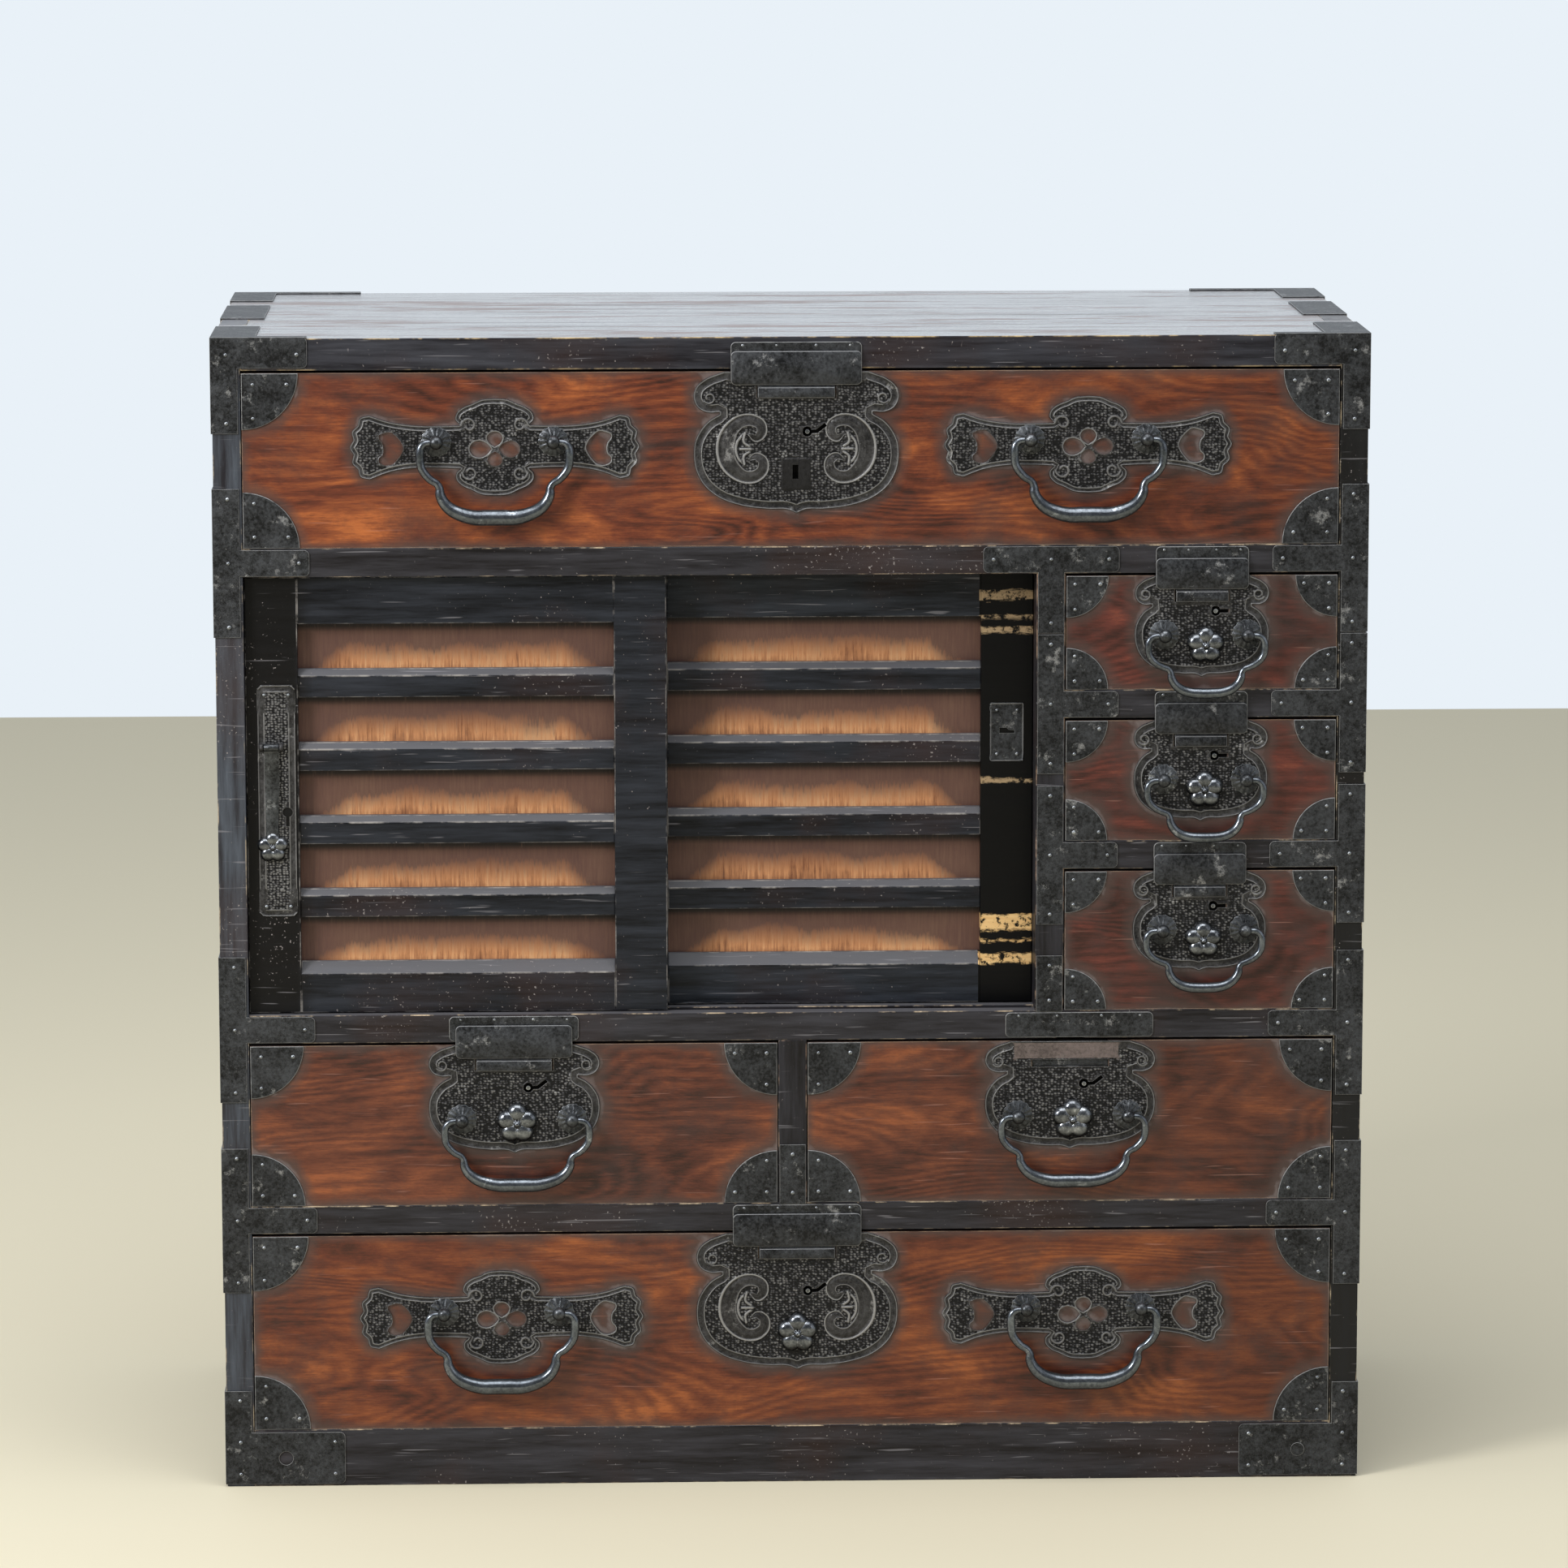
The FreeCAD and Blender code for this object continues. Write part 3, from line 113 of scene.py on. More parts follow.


# %% [markdown]
# ## A material while it is made
# All finishes are layers: a first colour from a noise, then stains laid over it one by one, each with
# its own mask. A Finish keeps the tree, the shader and the colour so far, and has one short word for
# each node that the finishes share. All patterns lie in the object's own coordinates, in metres.
#
# Wood, lacquer and iron wear first along their arrises, where hands and cloth rub, and the same
# arrises catch the light: the lighter arrises are partly that wear and partly a painted highlight. The
# mask of worn and lit edges is bright there: a Bevel node rounds the normal near an edge, and where it
# turns away from the true normal the edge is close. Faces made by a real bevel carry the mark "edge" and
# count as worn too. Undersides get less of it, as they wear less and catch less light, and a noise
# breaks it all up, because wear is never even.

# %% Finish: one material and its layers
class Finish:
    """A material with one principled shader; constants are given as inputs of the shader."""

    def __init__(self, name, **constants):
        self.made = bpy.data.materials.new(name)
        self.made.use_nodes = True
        self.tree = self.made.node_tree
        self.tree.nodes.clear()
        self.shader = self.add("BsdfPrincipled", {k.replace("_", " "): v for k, v in constants.items()})
        self.add("OutputMaterial", {"Surface": self.shader})
        self.place = self.add("TexCoord").outputs["Object"]
        self.base = None

    def add(self, kind, inputs=None, stops=None, **settings):
        """Any shader node."""
        return node(self.tree, "ShaderNode" + kind, inputs, stops, **settings)

    def maths(self, operation, *values):
        """One sum on one, two or three values."""
        return self.add("Math", dict(enumerate(values)), operation=operation)

    def span(self, value, low, high, start=0.0, end=1.0):
        """A value stretched from one range to another, clamped at both ends."""
        return self.add("MapRange", {"Value": value, "From Min": low, "From Max": high,
                                     "To Min": start, "To Max": end})

    def laid(self, scale, shift=(0, 0, 0), turn=(0, 0, 0), at=None):
        """Coordinates turned, moved and scaled."""
        return self.add("Mapping", {"Vector": self.place if at is None else at, "Location": shift,
                                    "Rotation": turn, "Scale": scale})

    def noise(self, scale, detail, roughness=0.5, distortion=0.0, at=None):
        """A noise; a higher scale is finer."""
        return self.add("TexNoise", {"Vector": self.place if at is None else at, "Scale": scale,
                                     "Detail": detail, "Roughness": roughness, "Distortion": distortion})

    def along(self, axis, at=None):
        """One coordinate."""
        return self.add("SeparateXYZ", {"Vector": self.place if at is None else at}).outputs[axis]

    def facing_up(self):
        """1 on a top, 0 on an upright face and -1 on an underside."""
        return self.along("Z", self.add("NewGeometry").outputs["Normal"])

    def mark(self, name):
        """A number that the mesh carries on its points or faces."""
        return self.add("Attribute", attribute_name=name).outputs["Fac"]

    def mixed(self, amount, low, high):
        """Two colours mixed by an amount."""
        return self.add("Mix", {0: amount, 6: low, 7: high}, data_type="RGBA")

    def ramp(self, value, places, shades):
        """Begin the base colour with shades along a value."""
        self.base = self.add("ValToRGB", {"Fac": value}, stops=list(zip(places, shades)))

    def stain(self, amount, tint):
        """Mix the base colour toward a tint."""
        self.base = self.mixed(amount, self.base, tint)

    def feed(self, socket, value):
        """Link a value to an input of the shader."""
        self.tree.links.new(live_output(value), self.shader.inputs[socket])

    def bump(self, height, strength, distance, sockets=("Normal",)):
        """Fine relief; distance in metres."""
        relief = self.add("Bump", {"Height": height, "Strength": strength, "Distance": distance})
        for socket in sockets:
            self.feed(socket, relief)

    def worn_and_lit_edges(self, width, patch, spread):
        """1 where an edge is rubbed through or catches the light as a painted highlight, 0 on the flats;
        width in metres, patch in patches a metre.
        """
        soft = self.add("Bevel", {"Radius": width}, samples=4)
        true = self.add("NewGeometry").outputs["Normal"]
        turn = self.add("VectorMath", {0: soft, 1: true}, operation="DOT_PRODUCT").outputs["Value"]
        near = self.maths("MAXIMUM", self.span(turn, 0.985, 0.80), self.mark("edge"))
        near = self.maths("MULTIPLY", near, self.span(self.facing_up(), -0.6, 0.5, 0.15, 1.0))
        gate = self.span(self.noise(patch, 5.0, 0.7), 0.52 - spread, 0.66 - spread * 0.6)
        return self.maths("MULTIPLY", near, gate)

    def scratches(self, seed, strength):
        """Fine marks, two or three centimetres long, in several directions."""
        masks = []
        for i, (turn, stretch) in enumerate(((0.6, 16.0), (-0.9, 22.0), (1.9, 18.0))):
            lay = self.laid((stretch, 300, 420), (seed + 3.1 * i, seed, 1.7 * i), (0, turn, 0))
            masks.append(self.span(self.noise(1.0, 1.0, distortion=0.3, at=lay), 0.73, 0.79))
        both = self.maths("MAXIMUM", *masks[:2])
        return self.maths("MULTIPLY", self.maths("MAXIMUM", both, masks[2]), strength)

    def fibres(self, shift, long, fine):
        """Fine streaks along X."""
        return self.noise(1.0, 5.0, 0.65, at=self.laid((long, fine, fine), shift))

    def done(self):
        """Link the base colour and hand over the material."""
        self.feed("Base Color", self.base)
        return self.made


# %% [markdown]
# ## Zelkova under clear lacquer
# The drawer fronts are plain-sawn zelkova, brushed with a clear red-brown lacquer. Plain sawing gives
# long arches where the knife runs along the growth rings. The arches are level lines of a slow noise,
# drawn out along the board and added to even rings; fine fibres and short pores lie over them. The
# lacquer gives a low, soft gloss. Its colour is darkened toward the right of the chest as painted shade,
# away from the lamp on the left, and darkens toward the foot; dirt veils it in clouds, and grey dust has
# gathered round the irons. The fronts carry a mark "dust" for that, worked out further down. Their
# arrises are lighter, partly worn and partly a painted highlight.

# %% The lacquered fronts
def sawn_grain(made, shift, ring, arch):
    """Rings of a plain-sawn board, running along X; ring is rings a metre, arch how far they swing."""
    lay = made.laid((1, 1, 1), shift)
    hill = made.noise(1.0, 1.6, 0.4, 0.6, made.laid((3.6, 8.0, 12.0), turn=(0, 0.12, 0), at=lay))
    ragged = made.noise(1.0, 3.0, 0.7, at=made.laid((60, 500, 500), at=lay))
    bend = made.maths("MULTIPLY_ADD", hill, arch, made.maths("MULTIPLY", made.along("Z", lay), ring))
    return made.maths("PINGPONG", made.maths("MULTIPLY_ADD", ragged, 1.1, bend), 0.5)


def lacquered_wood(name, shades, shift, gloss, grey):
    """Red-brown lacquered zelkova; shades run from the dark of a ring to the light between rings."""
    made = Finish(name, Roughness=gloss, Coat_Weight=0.10, Coat_Roughness=0.22, IOR=1.5,
                  Specular_IOR_Level=0.35)
    streak = made.fibres(shift, 22.0, 700.0)
    pores = made.fibres((shift[2], shift[0], shift[1]), 90.0, 1500.0)
    cloud = made.noise(1.0, 6.0, 0.66, 0.5, made.laid((9.0, 14.0, 24.0), shift, (0, 0.35, 0)))
    tone = made.maths("MULTIPLY_ADD", sawn_grain(made, shift, 85.0, 19.0), 0.30, cloud)
    tone = made.maths("MULTIPLY_ADD", streak, 0.24, tone)
    made.ramp(made.span(tone, 0.49, 0.94), (0.0, 0.35, 0.68, 1.0), shades)
    made.stain(made.span(pores, 0.58, 0.70, 0.0, 0.5), shades[0])
    # Painted shade: darker toward the right, away from the lamp on the left; also darker toward the foot.
    shade_rightward = made.span(made.along("X"), -0.05, 0.45, 0.0, 0.30)
    downward = made.span(made.along("Z"), 0.75, 0.10, 0.0, 0.22)
    made.stain(made.maths("ADD", shade_rightward, downward), "#34170a")
    veil = made.noise(17.0, 6.0, 0.7)
    made.stain(made.span(veil, 0.48, 0.66, 0.0, grey), "#392b29")
    ragged = made.maths("MULTIPLY_ADD", veil, 0.9, made.mark("dust"))
    made.stain(made.span(ragged, 0.62, 1.25, 0.0, 0.80), "#443632")
    made.stain(made.span(ragged, 1.27, 1.42, 0.0, 0.45), "#7a7170")
    made.stain(made.scratches(shift[0] + 5, 0.30), "#a5786a")
    # Light arrises: partly rubbed through to bare wood, partly a painted highlight of edges catching the
    # light.
    made.stain(made.worn_and_lit_edges(0.0009, 40.0, 0.16), "#d6b393")
    made.bump(made.maths("ADD", streak, pores), 0.25, 0.0004)
    return made.done()


front_woods = {
    "big": lacquered_wood("zelkova_clear_red_lacquer", ("#32170f", "#622e1b", "#824423", "#aa5f2f"),
                          (0.4, 0.0, 2.3), 0.38, 0.45),
    "half": lacquered_wood("zelkova_red_lacquer", ("#28140f", "#552b1e", "#733e27", "#95532f"),
                           (3.7, 0.0, 1.1), 0.38, 0.50),
    "small": lacquered_wood("zelkova_dark_red_lacquer", ("#1c100e", "#49241e", "#683229", "#8a4834"),
                            (6.1, 0.0, 4.2), 0.38, 0.60)}
print("drawer woods", {kind: wood.name for kind, wood in front_woods.items()})

# %% [markdown]
# ## Black lacquer on the case
# The case is coated with a thin, almost black lacquer. It has gone purple-brown with age, shows a
# bluish bloom in patches, and is chipped to light wood along its arrises and in small specks; the light
# arrises are partly a painted highlight too. Faces that look up are greyed, partly by dust and partly as
# a painted reflection of the pale room. The doors keep a deeper black. The right side and the left
# door's outer stile are darkened further as painted shade.

# %% Black lacquer
def black_lacquer(name, deep, bloom, edge_chip_and_light, gloss, edge_wear_and_light, lay, sheen=0.3, painted_shade=None, reach=0.0009):
    """Aged black lacquer on softwood; lay is the stretch of its clouds along X, Y and Z.

    The painted shade is (start, end, amount): a darkening along X, and reach how far the chips and the
    painted edge highlights run in, in metres."""
    made = Finish(name, Specular_IOR_Level=sheen, IOR=1.5)
    cloud = made.noise(1.0, 7.0, 0.68, at=made.laid(lay))
    made.base = made.mixed(made.span(cloud, 0.34, 0.68), deep, bloom)
    patch = made.noise(9.0, 4.0)
    made.stain(made.span(patch, 0.50, 0.72, 0.0, 0.55), "#36241f")
    # Painted shade: a darkening along X, where less light falls.
    if painted_shade:
        start, end, amount = painted_shade
        made.stain(made.span(made.along("X"), start, end, 0.0, amount), "#0e0d0d")
    # Up-facing faces greyed: partly dust, partly a painted reflection of the pale room.
    made.stain(made.span(made.facing_up(), 0.3, 0.65, 0.0, 0.45), "#77767a")
    speck = made.maths("MULTIPLY_ADD", patch, 0.35, made.noise(420.0, 2.0, 0.6))
    made.stain(made.span(speck, 0.885, 0.93, 0.0, 0.75), "#8d8684")
    made.stain(made.scratches(2.0, 0.35), "#8f8c90")
    # Chips to light wood at the arrises, partly a painted highlight of edges catching the light.
    made.stain(made.worn_and_lit_edges(reach, 48.0, edge_wear_and_light), edge_chip_and_light)
    made.feed("Roughness", made.span(cloud, 0.3, 0.7, gloss, gloss + 0.22))
    made.bump(cloud, 0.25, 0.0006)
    return made


along_x, along_z = (9.0, 90.0, 120.0), (120.0, 90.0, 9.0)
case_lacquer = black_lacquer("case_black_lacquer", "#141113", "#37363b", "#c3ae92", 0.34, 0.02,
                             along_x, 0.25).done()
edge_lacquer = black_lacquer("case_black_lacquer_chipped", "#141217", "#383940", "#cdb182", 0.34, 0.05,
                             along_x, 0.25, reach=0.0026).done()
# The upright lacquer darkens toward the right side, and the door lacquer on the left door's outer stile, both
# as painted shade.
side_lacquer = black_lacquer("case_black_lacquer_upright", "#201e23", "#4c525b", "#b9a78c", 0.30, 0.02,
                             along_z, painted_shade=(-0.2, 0.35, 0.95)).done()
door_lacquer = black_lacquer("door_black_lacquer", "#0c0d10", "#2c2f36", "#8f8a86", 0.30, 0.07,
                             along_x, 0.18, (-0.375, -0.39, 0.95)).done()
partition_lacquer = black_lacquer("partition_black_lacquer", "#141213", "#333237", "#a98d78", 0.34, 0.02,
                                  along_z, 0.22).done()
print("lacquers", case_lacquer.name, side_lacquer.name, door_lacquer.name, partition_lacquer.name)

# %% [markdown]
# ## Two spoiled lacquers
# On the right door's outer stile the lacquer has flaked off in bands across the grain, down to yellow
# wood that is dull in the upper bands. The top is greyed and glossy, so it mirrors the pale room,
# broken by long reddish worn streaks and fine cracks along the boards.

# %% The right door, where the lacquer has flaked
FLAKED_BANDS = ((0.413, 0.420), (0.4305, 0.432), (0.440, 0.452), (0.5585, 0.5615), (0.677, 0.682),
                (0.689, 0.6905), (0.704, 0.711))
STILE_X = 0.1485


def flaked_lacquer():
    """The door's black with bare bands on its right stile, which is darkened almost to black as painted
    shade; heights and places are in metres.
    """
    made = black_lacquer("door_black_lacquer_flaked", "#0f1013", "#31353c", "#8f8a86", 0.30, 0.07,
                         along_x, 0.18)
    fray, low, high = 0.010, 0.4, 0.8
    torn = made.noise(1.0, 4.0, 0.75, at=made.laid((55, 1, 260)))
    height = made.maths("MULTIPLY_ADD", torn, fray, made.along("Z"))
    stops = [(0.0, 0.0)]
    for band in FLAKED_BANDS:
        a, b = [(edge + fray / 2 - low) / (high - low) for edge in band]
        stops += [(a - 0.001, 0.0), (a, 1.0), (b, 1.0), (b + 0.001, 0.0)]
    bare = made.add("ValToRGB", {"Fac": made.span(height, low, high)}, stops=stops)
    stile = made.maths("GREATER_THAN", made.along("X"), STILE_X)
    # Painted shade: the outer stile is darkened almost to black.
    made.stain(stile, "#040405")
    frayed = made.span(made.noise(130.0, 5.0, 0.7), 0.42, 0.50)
    shown = made.maths("MULTIPLY", made.maths("MULTIPLY", bare, stile), frayed)
    wood = made.mixed(made.fibres((0, 0, 0), 30.0, 500.0), "#c08a48", "#ecd09a")
    wood = made.mixed(made.span(made.along("Z"), 0.46, 0.55, 0.0, 0.75), wood, "#7d6e5c")
    made.stain(shown, wood)
    return made.done()


flaked_door_lacquer = flaked_lacquer()


# %% The greyed top
def top_lacquer():
    """The top's lacquer: greyed, glossy, with long streaks and a few cracks along the boards."""
    made = black_lacquer("top_lacquer_greyed", "#3a3436", "#6b6a70", "#c7b08a", 0.16, 0.04,
                         (5.0, 130.0, 90.0), 0.9)
    for socket, value in {"Coat Weight": 0.45, "Coat Roughness": 0.22, "Coat IOR": 1.7, "IOR": 1.8}.items():
        made.shader.inputs[socket].default_value = value
    line = made.noise(1.0, 4.0, 0.65, at=made.laid((3.0, 210.0, 1.0)))
    crack = made.span(line, 0.58, 0.64, 0.0, 0.95)
    worn = made.noise(1.0, 8.0, 0.75, at=made.laid((5.0, 34.0, 9.0)))
    patch = made.span(worn, 0.51, 0.60, 0.0, 0.9)
    made.stain(patch, "#5b3a30")
    made.stain(crack, "#120d0b")
    made.feed("Roughness", made.span(made.maths("MAXIMUM", crack, patch), 0.0, 1.0, 0.14, 0.62))
    made.bump(made.maths("SUBTRACT", worn, crack), 0.5, 0.0012, ("Normal", "Coat Normal"))
    return made.done()


greyed_top_lacquer = top_lacquer()
print("variants", flaked_door_lacquer.name, greyed_top_lacquer.name)

# %% [markdown]
# ## Bare wood
# Inside, the boxes, the back and the bottom are plain sawn softwood, never lacquered. The door
# panels are thin boards set with the grain upright and stained orange. Every strip of panel is
# purple-brown above and orange below, and darker beside the stiles: partly dirt, partly painted shade
# from the slat above and the stiles. Right under each slat lies a dark band of painted shadow. The
# pattern repeats with the pitch of the slats.

# %% Bare and stained boards
def plain_wood(name, shades, across, gloss, dirt_and_shade=None):
    """Sawn softwood with even streaks.

    The dirt and painted shade are given as (pitch of the slats, foot of the lowest, their middles along X,
    half their length)."""
    made = Finish(name, Roughness=gloss, IOR=1.5, Specular_IOR_Level=0.35)
    coarse = made.noise(1.0, 6.0, 0.7, at=made.laid(across))
    cloud = made.noise(22.0, 5.0, 0.6)
    made.ramp(made.span(made.maths("MULTIPLY_ADD", cloud, 0.8, coarse), 0.62, 1.18), (0.0, 0.5, 1.0), shades)
    if dirt_and_shade:
        pitch, foot, middles, half = dirt_and_shade
        level = made.maths("SUBTRACT", made.along("Z"), foot)
        share = made.maths("DIVIDE", made.maths("FLOORED_MODULO", level, pitch), pitch)
        offs = [made.maths("ABSOLUTE", made.maths("SUBTRACT", made.along("X"), middle)) for middle in middles]
        # Painted shade beside the stiles, where the slats end.
        ends = made.span(made.maths("MINIMUM", *offs), half - 0.040, half, 0.0, 0.5)
        loose = made.maths("MULTIPLY_ADD", coarse, 0.4, made.maths("MULTIPLY_ADD", cloud, 0.55, share))
        # Darker toward the top of each strip: partly dirt, partly painted shade from the slat above.
        made.stain(made.span(made.maths("ADD", loose, ends), 0.93, 1.19, 0.0, 0.92), "#4d3632")
        # Painted shadow: a dark band right under each slat.
        made.stain(made.span(share, 0.87, 0.945, 0.0, 0.95), "#1a1210")
        made.stain(made.span(made.fibres((1.7, 0.0, 0.6), 620.0, 60.0), 0.56, 0.72, 0.0, 0.6), "#5c4238")
    made.bump(coarse, 0.3, 0.0004)
    return made.done()


SLAT_HEIGHT = 22 * MM
slat_boxes = [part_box(side + "_door_slats") for side in ("left", "right")]
slat_low = slat_boxes[0][0].z
slat_pitch = (slat_boxes[0][1].z - slat_low - SLAT_HEIGHT) / 3
slat_middles = [(low.x + high.x) / 2 for low, high in slat_boxes]
slat_half = (slat_boxes[0][1].x - slat_boxes[0][0].x) / 2
# Painted shade: the floor of the lock's pocket is made near black.
pocket_painted_shade = plain_wood("lock_pocket_sooted", ("#0b0908", "#120f0d", "#1a1613"), (6.0, 6.0, 320.0), 0.8)
box_wood = plain_wood("paulownia_bare", ("#8d6c47", "#b08f62", "#c4a377"), (6.0, 6.0, 320.0), 0.7)
back_wood = plain_wood("cedar_boards_bare", ("#664933", "#866445", "#9c7854"), (210.0, 210.0, 5.0), 0.75)
panel_wood = plain_wood("cedar_panel_orange", ("#6f432b", "#b57d53", "#e6b27f"), (520.0, 520.0, 34.0), 0.5,
                        (slat_pitch, slat_low, slat_middles, slat_half))
print("plain woods", box_wood.name, back_wood.name, panel_wood.name, "lowest slat", round(slat_low, 4))

# %% [markdown]
# ## Blackened iron
# The mounts are sheet iron, cut with a chisel, punched, and blackened over a fire with silk waste or
# lacquer. The black is a skin: high spots and rims rub back to grey metal, and dust lies in grey
# specks. The light arrises are partly that rubbing and partly a painted highlight, and the undersides
# are darkened as painted shade. Relief plates carry three marks. "ground" is 1 where the plate is
# punched with a beading tool, which leaves rows of beads 2 to 2.5 mm apart. "rise" says how high a
# spot stands, so rims come out lighter and hollows darker. "bare" is 1 where a lost hasp has left the
# plate reddish grey and -1 where a lost knob has left it dark.

# %% Iron and steel
def black_iron(name, dark, grey, rim, gloss, metal, dent=1.0, underside_shade=0.6):
    """Fire-blackened iron; dent scales how uneven its skin is, and the last argument how dark its undersides
    are painted, as painted shade.
    """
    made = Finish(name, Metallic=metal)
    skin = made.maths("MULTIPLY_ADD", made.noise(380.0, 4.0, 0.8), 1.0, made.noise(38.0, 8.0, 0.78))
    made.base = made.mixed(made.span(skin, 0.84, 1.18), dark, grey)
    made.stain(made.span(made.noise(52.0, 7.0, 0.8), 0.585, 0.67, 0.0, 0.85), rim)
    # Painted shade: undersides darker.
    made.stain(made.span(made.facing_up(), 0.15, -0.45, 0.0, underside_shade), "#131314")
    high = made.span(made.mark("rise"), 0.12, 0.45, 0.0, 0.75)
    # Rims: high spots rubbed to grey metal; the arrises partly worn, partly a painted highlight.
    made.stain(made.maths("MAXIMUM", high, made.worn_and_lit_edges(0.0007, 90.0, 0.26)), rim)
    ground, bare = made.mark("ground"), made.mark("bare")
    beads = made.add("TexVoronoi", {"Vector": made.laid((390, 430, 520)), "Scale": 1.0,
                                    "Randomness": 0.55}).outputs["Distance"]
    gap = made.maths("MULTIPLY", made.span(beads, 0.42, 0.60), ground)
    made.stain(made.maths("MULTIPLY", made.span(beads, 0.44, 0.12, 0.0, 0.58), ground), rim)
    made.stain(gap, "#151517")
    ghost = made.maths("MULTIPLY", made.span(bare, 0.0, 1.0), made.span(skin, 0.75, 1.15, 0.35, 0.95))
    made.stain(ghost, "#7d706e")
    made.stain(made.span(bare, 0.0, -1.0, 0.0, 0.85), "#1b1a1b")
    made.feed("Roughness", made.span(skin, 0.8, 1.25, gloss, gloss + 0.26 * dent))
    made.bump(made.maths("MULTIPLY_ADD", gap, -1.6, skin), 0.55 * dent, 0.0007)
    return made.done()


mount_iron = black_iron("iron_fire_blackened", "#18191b", "#4a4c50", "#a3a3a4", 0.34, 0.6)
plate_iron = black_iron("iron_punched_plate", "#242324", "#504f50", "#a4a3a3", 0.34, 0.6)
post_iron = black_iron("iron_post_turned", "#2b2c2e", "#606367", "#b4b8bd", 0.26, 0.8, 0.5)
pull_steel = black_iron("iron_pull_handled", "#54595f", "#7c8289", "#b4bac2", 0.24, 0.9, 0.05, 0.45)
knob_iron = black_iron("iron_knob_burnished", "#5c5f64", "#9da1a6", "#e9edf3", 0.18, 0.95, 0.3, 0.9)
nail_iron = black_iron("iron_nail_heads", "#7c8085", "#a9adb2", "#e2e6ea", 0.24, 0.8, 0.35)
print("irons", mount_iron.name, plate_iron.name, pull_steel.name, knob_iron.name, nail_iron.name)

# %% [markdown]
# ## From the measured boards to real boards
# A measured board has knife-sharp arrises, which nothing made of wood has. Each board is copied, its
# loose triangles are welded and merged into whole faces, and every arris is planed off by under a
# millimetre. The faces that this makes are marked "edge", for the wear and the painted highlight of the
# arrises. The copy then stands for the measured board.

# %% Copy, weld and plane off the arrises
def welded(name):
    """A welded copy of a measured node as a bmesh with whole faces."""
    mesh = bmesh.new()
    mesh.from_mesh(frame["nodes"][name].data)
    bmesh.ops.remove_doubles(mesh, verts=mesh.verts, dist=0.00001)
    bmesh.ops.dissolve_limit(mesh, angle_limit=math.radians(0.5), verts=mesh.verts, edges=mesh.edges)
    return mesh


def planed(mesh, width, steps=2, limit=35):
    """Bevel every edge sharper than the limit and mark the new faces."""
    mark = mesh.faces.layers.float.new("edge")
    sharp = [e for e in mesh.edges if e.is_manifold and e.calc_face_angle(0) > math.radians(limit)]
    made = bmesh.ops.bevel(mesh, geom=sharp, offset=width, segments=steps, profile=0.6, affect="EDGES",
                           clamp_overlap=True)
    for face in made["faces"]:
        face[mark] = 1.0
    return mesh


def place_piece(mesh, name, body, finish, stands_for=(), soft=None):
    """Make an object of a mesh, give it its finish or list of finishes, and let it ride on its body."""
    if isinstance(mesh, bmesh.types.BMesh):
        data = bpy.data.meshes.new(name)
        mesh.to_mesh(data)
        mesh.free()
        mesh = data
    mesh.name = name
    if len(mesh.materials):
        mesh.materials.clear()
    for item in finish if isinstance(finish, list) else [finish]:
        mesh.materials.append(item)
    if soft:
        mesh.shade_smooth()
        mesh.set_sharp_from_angle(angle=math.radians(soft))
    made = bpy.data.objects.new(name, mesh)
    bpy.context.scene.collection.objects.link(made)
    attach(made, body)
    if stands_for:
        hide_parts(*stands_for)
    return made


boards = {"left_side_panel": side_lacquer, "right_side_panel": side_lacquer,
          "top_board": [edge_lacquer, greyed_top_lacquer], "base_rails": case_lacquer,
          "lower_shelf": case_lacquer, "middle_shelf": case_lacquer, "upper_shelf": case_lacquer,
          "drawer_partition": partition_lacquer, "half_drawer_partition": partition_lacquer,
          "small_drawer_shelves": case_lacquer, "left_door_frame": door_lacquer,
          "right_door_frame": flaked_door_lacquer, "left_door_slats": door_lacquer,
          "right_door_slats": door_lacquer}
for board, finish in boards.items():
    mesh = planed(welded(board), 0.8 * MM)
    if board == "top_board":
        for face in mesh.faces:
            face.material_index = int(face.normal.z > 0.9)
    place_piece(mesh, board + "_planed", bodies[board], finish, [board])
print("boards planed", len(boards))

# %% Finishes for the pieces that keep their measured shape
carried = {"back_panel": back_wood, "bottom_board": back_wood, "left_door_panel": panel_wood,
           "right_door_panel": panel_wood}
carried.update({name: box_wood for name in bodies if name.endswith("_box")})
for name, finish in carried.items():
    frame["nodes"][name].data.materials.clear()
    frame["nodes"][name].data.materials.append(finish)
print("carried over", len(carried))

# %% [markdown]
# ## Drawer fronts
# Each front is one board, planed at its arrises like the case. The two wide drawers are the show
# faces and have the bright lacquer; the others are darker. The measured front also holds the
# iron pin that the key turns on, so the node is first parted into its loose pieces. The face is cut
# into small cells, because the mark "dust" is written on its points once the irons are in place, and
# the floor of the pocket behind the lock is painted near black as painted shade.

# %% Part a node into islands
def islands(name):
    """The loose pieces of a node in the mesh's own order: (bmesh, lowest corner, highest corner)."""
    whole = welded(name)
    seen, found = set(), []
    for first in whole.verts:
        if first in seen:
            continue
        seen.add(first)
        group = [first]
        for vert in group:
            others = [edge.other_vert(vert) for edge in vert.link_edges]
            group += [other for other in others if other not in seen]
            seen.update(others)
        part = bmesh.new()
        copies = {v: part.verts.new(v.co) for v in group}
        for face in dict.fromkeys(f for v in group for f in v.link_faces):
            part.faces.new([copies[v] for v in face.verts])
        low = Vector([min(v.co[i] for v in group) for i in range(3)])
        high = Vector([max(v.co[i] for v in group) for i in range(3)])
        found.append((part, low, high))
    whole.free()
    return found


def joined(parts):
    """Several bmeshes as one."""
    whole = bmesh.new()
    for part in parts:
        data = bpy.data.meshes.new("part")
        part.to_mesh(data)
        part.free()
        whole.from_mesh(data)
        bpy.data.meshes.remove(data)
    return whole


